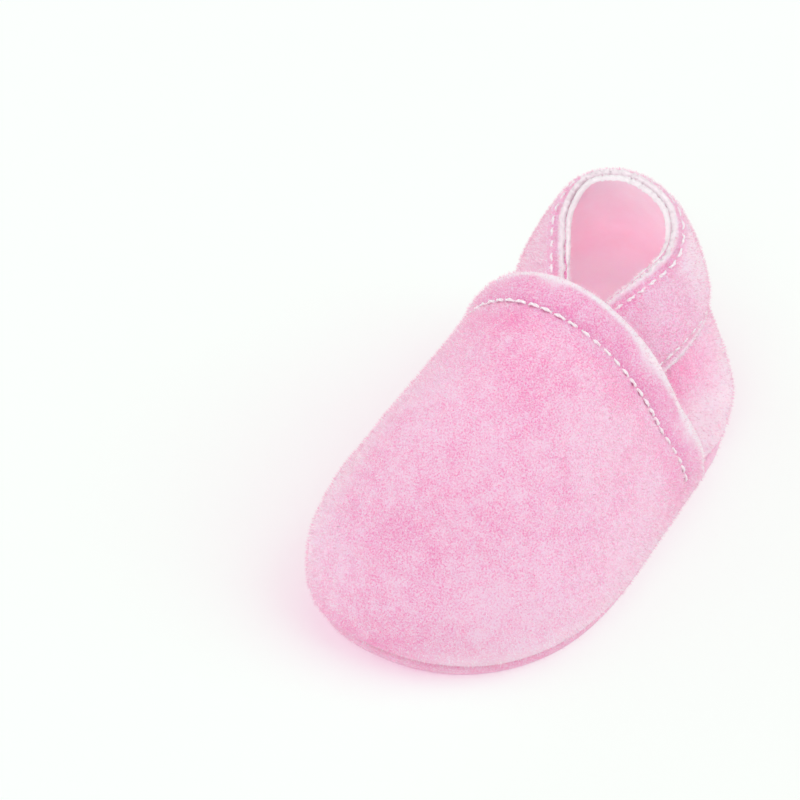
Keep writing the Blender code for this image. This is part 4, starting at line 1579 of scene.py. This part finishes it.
@dataclass
class Outsole:
    """The sole, curled up to the seam all round."""

    form: BootieForm
    points: int = 360
    curl: float = 1.0 * MM
    fold: float = 0.8 * MM
    stitch_reach: float = 2.6 * MM
    flat_rings: tuple[float, ...] = (1.5 * MM, 3 * MM, 5 * MM)
    ripple: float = 0.28 * MM
    ripple_size: float = 6 * MM
    ripple_height: float = 2.9 * MM
    ripple_width: float = 1.4 * MM
    # Painted shade, deeper at the seam, and painted light towards the heel on the lit side.
    shade: float = 0.35
    seam_shade: float = 0.5
    seam_depth: float = 1.2 * MM
    lit_paling: float = 0.3
    lit_x_fade: float = 20 * MM
    lit_y: float = -30 * MM
    lit_y_fade: float = 25 * MM
    first_turn: float = 12.0
    curl_steps: int = 8
    fold_steps: int = 6

    def section(self) -> list[tuple[float, float]]:
        """Section of the sole's edge.

        Returns:
            Pairs of inset and height, from the flat to the allowance's end.
        """
        form = self.form
        half = form.sole / 2
        flat = half + self.curl
        level = form.rim_height - half
        pairs = []
        for angle in np.radians(np.linspace(self.first_turn, 90, self.curl_steps)):
            pairs.append((flat - self.curl * math.sin(angle), half + self.curl * (1 - math.cos(angle))))
        for angle in np.radians(np.linspace(0, 90, self.fold_steps)):
            pairs.append((half + self.fold * (1 - math.cos(angle)),
                          level - self.fold * (1 - math.sin(angle))))
        return pairs + [(half + self.stitch_reach, level), (half + form.allowance, level)]

    def shading(self, plan: np.ndarray, height: float) -> np.ndarray:
        """Painted shade: deeper pink at the seam; painted light: paler suede towards the heel on the lit
        side.

        Args:
            plan: Points round the edge.
            height: Their height.

        Returns:
            The painted shade at each point, lowered by the painted light.
        """
        lit = smooth_step(plan[:, 0] / self.lit_x_fade)
        lit *= smooth_step((plan[:, 1] - self.lit_y) / self.lit_y_fade)
        at_seam = height > self.form.rim_height - self.seam_depth
        return (self.shade + self.seam_shade * at_seam) * (1 - lit) - self.lit_paling * lit

    def build(self, materials: list[bpy.types.Material]) -> bpy.types.Object:
        """Build the sole's sheet from its flat outline outwards.

        Args:
            materials: Face and cut edge.

        Returns:
            The finished object.
        """
        form = self.form
        outline, inward = form.closed_outline(self.points)
        half = form.sole / 2
        builder = bmesh.new()
        shade_layer = builder.verts.layers.float.new("shade")
        bmesh.ops.create_circle(builder, cap_ends=True, segments=self.points, radius=1.0)
        ring = list(builder.verts)
        flat_face = next(iter(builder.faces))
        for vertex, place in zip(ring, on_plan(outline + inward * (half + self.curl), half)):
            vertex.co = place
        for width in self.flat_rings:
            bmesh.ops.inset_region(builder, faces=[flat_face], thickness=width, use_even_offset=True)
        ripple = self.ripple * bumps(on_plan(outline, 0.0), self.ripple_size, 31)
        for inset, height in self.section():
            rim = bell(height - self.ripple_height, self.ripple_width)
            plan = outline + inward * (inset - ripple * rim)[:, None]
            ring = draw_out(builder, ring, closed=True)
            for vertex, place, shade in zip(ring, on_plan(plan, height), self.shading(plan, height)):
                vertex.co = place
                vertex[shade_layer] = shade
        form.settle(builder)
        item = dress("outsole_suede", builder, materials)
        thicken(item, form.sole, use_even_offset=True, material_offset_rim=1)
        return item


@dataclass
class Insole:
    """The padded sock: a crowned pad with a quilted edge."""

    form: BootieForm
    across: int = 60
    along: int = 90
    inset: float = 6.1 * MM
    bottom: float = 1.7 * MM
    top: float = 3.8 * MM
    edge_share: float = 0.25
    edge_sharpness: float = 9.0
    quilting: float = 0.25 * MM
    quilting_size: float = 9 * MM
    underside: tuple[float, float] = (0.985, 0.993)
    shade: float = 0.4

    def build(self, material: bpy.types.Material) -> bpy.types.Object:
        """Build the pad as one closed body.

        Args:
            material: The pad's finish.

        Returns:
            The finished object.
        """
        across, along = np.meshgrid(np.linspace(-1, 1, self.across + 1), np.linspace(-1, 1, self.along + 1))
        plan = self.form.inside_sole(across, along, self.inset)
        edge = np.maximum(np.abs(across), np.abs(along))
        swell = np.clip(1 - edge ** self.edge_sharpness, 0, 1)
        thickness = self.top - self.bottom
        height = self.bottom + thickness * (self.edge_share + (1 - self.edge_share) * np.sqrt(swell))
        points = np.concatenate([plan, height[..., None]], axis=-1)
        points[..., 2] += self.quilting * bumps(points, self.quilting_size, 41) * swell
        sheet = Sheet(points, np.full(edge.shape, self.shade), np.zeros(edge.shape))
        self.close_bottom(sheet)
        self.form.settle(sheet.builder)
        return dress("insole_sock", sheet.builder, [material])

    def close_bottom(self, sheet: Sheet) -> None:
        """Draw the pad's edge down and close the underside.

        Args:
            sheet: The pad's upper side.
        """
        last_column, last_row = self.across, self.along
        keys = [(0, column) for column in range(last_column)]
        keys += [(row, last_column) for row in range(last_row)]
        keys += [(last_row, column) for column in range(last_column, 0, -1)]
        keys += [(row, 0) for row in range(last_row, 0, -1)]
        lower = draw_out(sheet.builder, [sheet.grid[key] for key in keys], closed=True)
        for vertex in lower:
            vertex.co.z = self.bottom
            vertex.co.x *= self.underside[0]
            vertex.co.y *= self.underside[1]
        rim = edges_along(sheet.builder, lower, closed=True)
        bmesh.ops.holes_fill(sheet.builder, edges=rim, sides=0)


# ------------------------------------------------------------------ stitches and fibres

def repeat_template(name: str, template: bmesh.types.BMesh, copies: np.ndarray,
                    material: bpy.types.Material) -> bpy.types.Object:
    """Make one object of many reshaped copies of a template.

    Args:
        name: The object's name.
        template: Gives each copy's faces, and is freed.
        copies: The vertices' places, as copies by vertices by 3.
        material: The object's finish.

    Returns:
        The object.
    """
    template.verts.index_update()
    faces = [[vertex.index for vertex in face.verts] for face in template.faces]
    starts = range(0, copies.shape[0] * copies.shape[1], copies.shape[1])
    template.free()
    mesh = bpy.data.meshes.new(name)
    polygons = [[start + corner for corner in face] for start in starts for face in faces]
    mesh.from_pydata(copies.reshape(-1, 3).tolist(), [], polygons)
    mesh.materials.append(material)
    return add_object(name, mesh)


@dataclass
class StitchRow:
    """A row of lockstitches of two twisted plies, each dipping into the suede at both ends."""

    form: BootieForm
    seed: int
    thickness: float = 0.26 * MM
    rings: int = 9
    sides: int = 6
    plies: int = 2
    coverage: float = 0.86
    wander: float = 0.05
    shortest: float = 0.92
    longest: float = 1.05
    arch_power: float = 2.6
    dip: float = 0.22 * MM
    rise: float = 0.41 * MM
    twist: float = 2.6
    end_thickness: float = 0.62
    spread_side: float = 0.62
    spread_up: float = 0.45

    def stitch_template(self) -> bmesh.types.BMesh:
        """One straight ply along X, from -1 to 1 and closed at both ends.

        Returns:
            The template.
        """
        builder = bmesh.new()
        turn = Matrix.Rotation(math.pi / 2, 4, "Y")
        bmesh.ops.create_cone(builder, cap_ends=True, segments=self.sides, radius1=1.0, radius2=1.0,
                              depth=2.0, matrix=turn)
        long_edges = [edge for edge in builder.edges
                      if abs(edge.verts[0].co.x - edge.verts[1].co.x) > 1.0]
        bmesh.ops.subdivide_edges(builder, edges=long_edges, cuts=self.rings - 2, use_grid_fill=False)
        return builder

    def ply_places(self, base: np.ndarray, line: np.ndarray, shares: np.ndarray, start: float) -> np.ndarray:
        """Wind one ply round its stitch.

        Args:
            base: The template's vertices.
            line: The row's points and normals.
            shares: Each vertex's share of the row's length.
            start: The ply's first angle.

        Returns:
            The vertices' places.
        """
        step = 1e-4
        spine = resample(line, shares)
        points, normals = spine[:, :3], unit(spine[:, 3:])
        ahead = resample(line, np.clip(shares + step, 0, 1))[:, :3]
        behind = resample(line, np.clip(shares - step, 0, 1))[:, :3]
        side = unit(np.cross(normals, unit(ahead - behind)))
        arch = 1 - np.abs(base[:, 0]) ** self.arch_power
        twist = base[:, 0] * self.twist + start
        swell = self.thickness * (self.end_thickness + (1 - self.end_thickness) * arch)
        offset_side = np.cos(twist) * self.thickness * self.spread_side + base[:, 1] * swell
        offset_up = np.sin(twist) * self.thickness * self.spread_up + base[:, 2] * swell
        height = arch * self.rise - self.dip
        return points + side * offset_side[:, None] + normals * (offset_up + height)[:, None]

    def build(self, name: str, centres: np.ndarray, outward: np.ndarray,
              material: bpy.types.Material) -> bpy.types.Object:
        """Build the row.

        Args:
            name: The piece's name.
            centres: Dense points along the row on the suede's face, in the straight layout.
            outward: Unit normals there.
            material: The thread's finish.

        Returns:
            The row as one object.
        """
        rng = np.random.default_rng(self.seed)
        count = max(2, round(travelled(centres)[-1] / self.form.stitch_pitch))
        line = np.hstack([centres, outward])
        template = self.stitch_template()
        base = np.array([vertex.co[:] for vertex in template.verts])
        copies = []
        for index in range(count):
            middle = (index + 0.5 + rng.uniform(-self.wander, self.wander)) / count
            half = 0.5 * self.coverage * rng.uniform(self.shortest, self.longest) / count
            shares = np.clip(middle + base[:, 0] * half, 0, 1)
            for ply in range(self.plies):
                copies.append(self.ply_places(base, line, shares, ply * math.pi + index))
        row = repeat_template(name, template, self.form.bend(np.array(copies)), material)
        row.data.shade_smooth()
        return row


@dataclass
class Nap:
    """Short suede fibres standing on a piece's faces, which soften its outline."""

    count: int
    seed: int
    length: float = 0.75 * MM
    width: float = 0.055 * MM
    lean: float = 0.55
    lowest: float = 0.0
    rooting: float = 0.03 * MM
    shortest: float = 0.4
    longest: float = 1.25

    def growing_triangles(self, source: bpy.types.Object, face: SheetFace) -> np.ndarray:
        """Corners of the triangles that fibres grow on.

        Args:
            source: The piece that the fibres stand on.
            face: Which of its faces grow fibres.

        Returns:
            Places as corners by triangles by 3.
        """
        graph = bpy.context.evaluated_depsgraph_get()
        mesh = source.evaluated_get(graph).to_mesh()
        mesh.calc_loop_triangles()
        count = len(mesh.loop_triangles)
        corners = np.zeros(count * 3, dtype=np.int64)
        mesh.loop_triangles.foreach_get("vertices", corners)
        owner = np.zeros(count, dtype=np.int64)
        mesh.loop_triangles.foreach_get("material_index", owner)
        places = np.zeros(len(mesh.vertices) * 3)
        mesh.vertices.foreach_get("co", places)
        triangles = places.reshape(-1, 3)[corners.reshape(-1, 3)[owner == face.value]]
        high = triangles[:, :, 2].min(axis=1) >= self.lowest
        return triangles[high].transpose(1, 0, 2)

    def build(self, name: str, source: bpy.types.Object, face: SheetFace,
              material: bpy.types.Material) -> bpy.types.Object:
        """Grow fibres on a piece.

        Args:
            name: The new piece's name.
            source: The piece that the fibres stand on.
            face: Which of its faces grow fibres.
            material: The fibres' finish.

        Returns:
            The fibres as one object.
        """
        rng = np.random.default_rng(self.seed)
        first, second, third = self.growing_triangles(source, face)
        normals = np.cross(second - first, third - first)
        areas = np.linalg.norm(normals, axis=1)
        chosen = rng.choice(len(areas), self.count, p=areas / areas.sum())
        spread = np.sqrt(rng.uniform(size=self.count))[:, None]
        slide = rng.uniform(size=self.count)[:, None]
        root = (first[chosen] * (1 - spread) + second[chosen] * spread * (1 - slide)
                + third[chosen] * spread * slide)
        outward = unit(normals[chosen])
        stray = unit(rng.normal(size=(self.count, 3)))
        direction = unit(outward + stray * self.lean)
        size = self.length * rng.uniform(self.shortest, self.longest, self.count)[:, None]
        across = unit(np.cross(direction, stray))
        sideways = np.cross(across, direction)
        spike = bmesh.new()
        bmesh.ops.create_cone(spike, cap_ends=True, segments=3, radius1=1.0, radius2=0.0, depth=2.0)
        corners = []
        for vertex in spike.verts:
            ring = sideways * vertex.co.x + across * vertex.co.y
            foot = root - outward * self.rooting + ring * self.width
            corners.append(foot if vertex.co.z < 0 else root + direction * size)
        return repeat_template(name, spike, np.stack(corners, axis=1), material)


# ------------------------------------------------------------------ the whole bootie

class Palette:
    """Every finish of the bootie."""

    def __init__(self) -> None:
        """Make the materials once."""
        pale = srgb(251, 213, 233)
        deep = srgb(245, 144, 195)
        self.vamp = SuedeFinish("vamp_suede_nap", pale, deep).make()
        self.quarter = SuedeFinish("quarter_suede_nap", pale, deep).make()
        self.band = SuedeFinish("band_suede_nap", pale, deep).make()
        self.inner = SuedeFinish("suede_flesh_side", srgb(255, 216, 232), srgb(254, 194, 216), shade=0.3,
                                 speckle=0.5, sheen=0.1, bump=0.3).make()
        self.sole = SuedeFinish("sole_suede_nap", srgb(255, 207, 229), srgb(250, 166, 203), shade=0.45).make()
        self.raw = SuedeFinish("raw_cut_edge", srgb(255, 255, 255), srgb(255, 238, 246), nap_size=0.25 * MM,
                               speckle=0.8, shade=0.1, sheen=1.0, sheen_tint=(1.0, 1.0, 1.0, 1.0), glow=0.0,
                               bump=0.4).make()
        self.fleece = SuedeFinish("fleece_backing", srgb(249, 206, 224), srgb(244, 170, 200)).make()
        self.thread = ThreadFinish("white_thread", srgb(255, 254, 255), srgb(250, 238, 245)).make()
        self.elastic = ThreadFinish("knitted_elastic", srgb(250, 247, 247), srgb(222, 216, 218),
                                    twist=1.2 * MM).make()
        self.pile = FibreFinish("fleece_pile", srgb(253, 224, 236), srgb(248, 196, 217)).make()
        self.fuzz = FibreFinish("pink_fuzz", srgb(251, 214, 231), srgb(247, 186, 212)).make()
        self.pale_fuzz = FibreFinish("pale_edge_fuzz", srgb(255, 252, 254), srgb(255, 242, 248),
                                     sheen=0.8).make()


@dataclass
class Bootie:
    """Builds every piece and ties it to the frame."""

    form: BootieForm
    palette: Palette
    line_points: int = 500
    sole_line_points: int = 400
    throat_reach: float = 0.93
    band_reach: float = 0.99
    throat_sink: float = 0.5 * MM
    probe: float = 1 * MM
    seam_clearance: float = 0.35 * MM
    seam_lift: float = 0.1 * MM
    nap_floor: float = 0.9 * MM
    frost_share: float = 0.4

    def tie(self, item: bpy.types.Object, slot: str, *nodes: str) -> None:
        """Make a piece ride on the root, and hide the CAD nodes that it stands for.

        Args:
            item: The piece.
            slot: Not used.
            nodes: The CAD nodes that it replaces.
        """
        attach(item, ROOT)
        if nodes:
            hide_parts(*nodes)
        LOG.info("%s: %d vertices", item.name, len(item.data.vertices))

    def build_suede(self) -> dict[str, bpy.types.Object]:
        """Build the four suede pieces.

        Returns:
            The pieces by their short names.
        """
        palette = self.palette
        vamp = Vamp(self.form).build([palette.vamp, palette.inner, palette.raw])
        quarter = Quarter(self.form).build([palette.quarter, palette.inner, palette.raw])
        band = AnkleBand(self.form).build([palette.band, palette.inner, palette.raw])
        sole = Outsole(self.form).build([palette.sole, palette.raw])
        self.tie(vamp, "vamp_suede", "vamp")
        self.tie(quarter, "quarter_suede", "heel_quarter")
        self.tie(band, "band_suede", "ankle_band")
        self.tie(sole, "sole_suede", "outsole")
        return {"vamp": vamp, "quarter": quarter, "band": band, "sole": sole}

    def build_insole(self) -> None:
        """Build the padded insole and its pile."""
        pad = Insole(self.form).build(self.palette.fleece)
        self.tie(pad, "fleece", "insole")
        nap = Nap(20000, seed=61, length=1.5 * MM, width=0.11 * MM, lean=1.3)
        pile = nap.build("insole_pile", pad, SheetFace.OUTER, self.palette.pile)
        self.tie(pile, "fleece")

    def build_stitches(self) -> None:
        """Build the three visible rows of stitches and the closing row inside."""
        self.sew_throat()
        self.sew_band()
        self.sew_sole_seam()

    def sew_throat(self) -> None:
        """Sew the vamp's hem."""
        form = self.form
        across = np.linspace(-self.throat_reach, self.throat_reach, self.line_points)
        travel = form.hem_stitch / form.throat_scale(across)
        outward, _ = form.dome_frame(across, travel)
        surface = form.dome_point(across, travel) + outward * (form.suede / 2 - self.throat_sink)
        row = StitchRow(form, seed=5).build("throat_stitches", surface, outward, self.palette.thread)
        self.tie(row, "thread", "throat_stitching")

    def sew_band(self) -> None:
        """Sew both edges of the casing."""
        form = self.form
        places = np.linspace(-self.band_reach, self.band_reach, self.line_points)
        table = form.drop_table(places)
        band = AnkleBand(form)
        for name, drop, node, seed in (
                ("band_top_stitches", form.top_stitch, "band_top_stitching", 11),
                ("band_bottom_stitches", form.bottom_stitch, "band_bottom_stitching", 12)):
            share = form.share_at(table, drop)
            low = form.wall_point(places, share, 0.0)
            normal = unit(form.wall_point(places, share, self.probe) - low)
            surface = low + normal * (band.lift(drop) + form.suede / 2)
            row = StitchRow(form, seed=seed).build(name, surface, normal, self.palette.thread)
            self.tie(row, "thread", node)

    def sew_sole_seam(self) -> None:
        """Sew the closing row that lies on the seam allowances inside."""
        form = self.form
        outline, inward = form.closed_outline(self.sole_line_points)
        lap = form.tuck_share(outline[:, 1]) * smooth_step(outline[:, 1] / form.quarter_front_y)
        top = form.flange_height + form.suede + lap * (form.suede + form.gap)
        inset = form.foot_tuck + form.suede + 2 * form.gap + self.seam_clearance
        path = on_plan(outline + inward * inset, top + self.seam_lift)
        path = np.vstack([path, path[:1]])
        upward = np.tile([0.0, 0.0, 1.0], (len(path), 1))
        row = StitchRow(form, seed=17).build("sole_seam_stitches", path, upward, self.palette.thread)
        self.tie(row, "thread", "sole_seam_stitching")

    def grow_nap(self, suede: dict[str, bpy.types.Object]) -> None:
        """Grow short fibres on the suede and along its cut edges.

        Args:
            suede: The suede pieces by their short names.
        """
        fuzz, pale = self.palette.fuzz, self.palette.pale_fuzz
        for key, count in (("vamp", 30000), ("quarter", 14000), ("band", 11000), ("sole", 6000)):
            for tone, finish, share in (("nap", fuzz, 1.0), ("frost", pale, self.frost_share)):
                nap = Nap(round(count * share), seed=len(key + tone), lowest=self.nap_floor)
                fibres = nap.build(f"{key}_{tone}_fibres", suede[key], SheetFace.OUTER, finish)
                self.tie(fibres, f"{key}_suede")
        for key, count in (("quarter", 3500), ("band", 5000)):
            nap = Nap(count, seed=31, length=0.9 * MM, width=0.05 * MM, lean=0.8)
            fibres = nap.build(f"{key}_edge_fibres", suede[key], SheetFace.CUT_EDGE, pale)
            self.tie(fibres, f"{key}_suede")

    def dress_elastic(self) -> None:
        """Give the hidden elastic its knitted ribs."""
        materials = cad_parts["ankle_elastic"].data.materials
        materials.clear()
        materials.append(self.palette.elastic)


# ------------------------------------------------------------------ studio

@dataclass(frozen=True)
class Sun:
    """A soft far light: where it stands, how wide it looks in degrees and how strong it is."""

    name: str
    place: tuple[float, float, float]
    spread: float
    strength: float

    def light(self) -> None:
        """Add the light, aimed at the origin."""
        data = bpy.data.lights.new(self.name, "SUN")
        data.angle = math.radians(self.spread)
        data.energy = self.strength
        lamp = add_object(self.name, data)
        lamp.location = self.place
        lamp.rotation_euler = (-Vector(self.place)).to_track_quat("-Z", "Y").to_euler()


@dataclass
class Studio:
    """Pale floor, soft lights and the camera."""

    target: tuple[float, float, float] = (0.0, 0.0, 24 * MM)
    azimuth: float = 29.8
    elevation: float = 42.6
    roll: float = 0.5
    distance: float = 854 * MM
    lens: float = 177.931
    sensor: float = 36.0
    aim_right: float = -28.553 * MM
    aim_up: float = 4.579 * MM
    floor_half: float = 3.0
    floor_drop: float = 0.05 * MM
    floor_white: Colour = (0.965, 0.992, 0.965, 1.0)
    # Share of each channel that the floor gives camera rays as emission, which paints its shadow pink; past
    # lit_side plain emission paints the shadow out.
    shadow_tint: Colour = (0.70, 0.06, 0.34, 0.0)
    lit_side: float = 50 * MM
    lit_clearing: float = 0.75
    world_strength: float = 0.55
    suns: tuple[Sun, ...] = (
        Sun("key", (0.75, 0.35, 0.8), 50, 0.92),
        Sun("side", (-0.8, -0.35, 0.6), 60, 0.7),
        Sun("fill", (0.15, -0.6, 0.75), 40, 0.6))
    inner_power: float = 0.0098
    inner_size: float = 24 * MM
    inner_place: tuple[float, float, float] = (0.0, -2 * MM, 28 * MM)
    inner_aim: tuple[float, float, float] = (0.0, 1.0, 0.25)

    def build(self) -> None:
        """Set up the floor, world, lights and camera."""
        self.build_camera()
        self.build_floor()
        self.build_world()
        for sun in self.suns:
            sun.light()
        self.build_inner_lamp()
        bpy.context.scene.view_settings.view_transform = "Standard"

    def axes(self) -> tuple[Vector, Vector, Vector]:
        """Work out how the camera stands.

        Returns:
            Directions towards the camera, to its right and up.
        """
        azimuth, elevation, roll = (math.radians(turn) for turn in (self.azimuth, self.elevation, self.roll))
        back = Vector((math.sin(azimuth) * math.cos(elevation), -math.cos(azimuth) * math.cos(elevation),
                       math.sin(elevation)))
        right = Vector((math.cos(azimuth), math.sin(azimuth), 0.0))
        up = back.cross(right)
        rolled_right = right * math.cos(roll) + up * math.sin(roll)
        return back, rolled_right, up * math.cos(roll) - right * math.sin(roll)

    def build_camera(self) -> None:
        """Stand the camera off and aim it so that the bootie lies right of the middle."""
        back, right, up = self.axes()
        data = bpy.data.cameras.new("camera")
        data.sensor_width = self.sensor
        data.lens = self.lens
        data.clip_start = 10 * MM
        camera = add_object("camera", data)
        position = Vector(self.target) + back * self.distance
        aim = Vector(self.target) + right * self.aim_right + up * self.aim_up
        view = (position - aim).normalized()
        side = (right - view * right.dot(view)).normalized()
        turn = Matrix((side, view.cross(side), view)).transposed().to_4x4()
        camera.matrix_world = Matrix.Translation(position) @ turn
        bpy.context.scene.camera = camera

    def build_floor(self) -> None:
        """Lay a pale floor."""
        builder = bmesh.new()
        bmesh.ops.create_grid(builder, x_segments=1, y_segments=1, size=self.floor_half)
        floor = dress("floor", builder, [self.floor_material()])
        floor.location = (0.0, 0.0, -self.floor_drop)

    def floor_material(self) -> bpy.types.Material:
        """Make a floor that the camera sees near white, whose emission paints its shadow pink and paints the
        shadow out towards the lit side.

        Returns:
            The material.
        """
        chain = NodeChain("studio_floor")
        # For camera rays, diffuse plus emission: the emission paints the shadow pink.
        kept = tuple(white * (1 - tint) for white, tint in zip(self.floor_white, self.shadow_tint))
        painted_shadow_glow = tuple(white * tint for white, tint in zip(self.floor_white, self.shadow_tint))
        bounce = chain.join("ShaderNodeBsdfDiffuse", self.floor_white)
        tinted = chain.join("ShaderNodeAddShader", chain.join("ShaderNodeBsdfDiffuse", kept),
                            chain.join("ShaderNodeEmission", painted_shadow_glow))
        # Plain emission that paints the shadow out towards the lit side.
        painted_out_shadow = chain.join("ShaderNodeEmission", self.floor_white)
        sideways = chain.join("ShaderNodeSeparateXYZ", chain.place())
        fade = chain.add("ShaderNodeMapRange", {"Value": sideways, "From Min": 0.0, "From Max": self.lit_side,
                                                "To Max": self.lit_clearing},
                         interpolation_type="SMOOTHSTEP").outputs[0]
        seen = chain.join("ShaderNodeMixShader", fade, tinted, painted_out_shadow)
        by_camera = chain.add("ShaderNodeLightPath").outputs["Is Camera Ray"]
        return chain.end(chain.join("ShaderNodeMixShader", by_camera, bounce, seen))

    def build_world(self) -> None:
        """Light the scene evenly from all round."""
        world = bpy.data.worlds.new("studio_world")
        bpy.context.scene.world = world
        world.use_nodes = True
        background = world.node_tree.nodes["Background"]
        background.inputs["Color"].default_value = (1.0, 1.0, 1.0, 1.0)
        background.inputs["Strength"].default_value = self.world_strength

    def build_inner_lamp(self) -> None:
        """Add a small lamp under the vamp that opens up the shadow on the heel's inner wall."""
        data = bpy.data.lights.new("inner_fill", "AREA")
        data.shape = "DISK"
        data.size = self.inner_size
        data.energy = self.inner_power
        lamp = add_object("inner_fill", data)
        lamp.location = self.inner_place
        lamp.rotation_euler = Vector(self.inner_aim).to_track_quat("-Z", "Y").to_euler()


def main() -> None:
    """Build the bootie's looks and the studio."""
    logging.basicConfig(level=logging.INFO)
    Studio().build()
    bootie = Bootie(BootieForm(), Palette())
    suede = bootie.build_suede()
    bootie.build_insole()
    bootie.build_stitches()
    bootie.dress_elastic()
    bootie.grow_nap(suede)


if __name__ == "__main__":
    main()
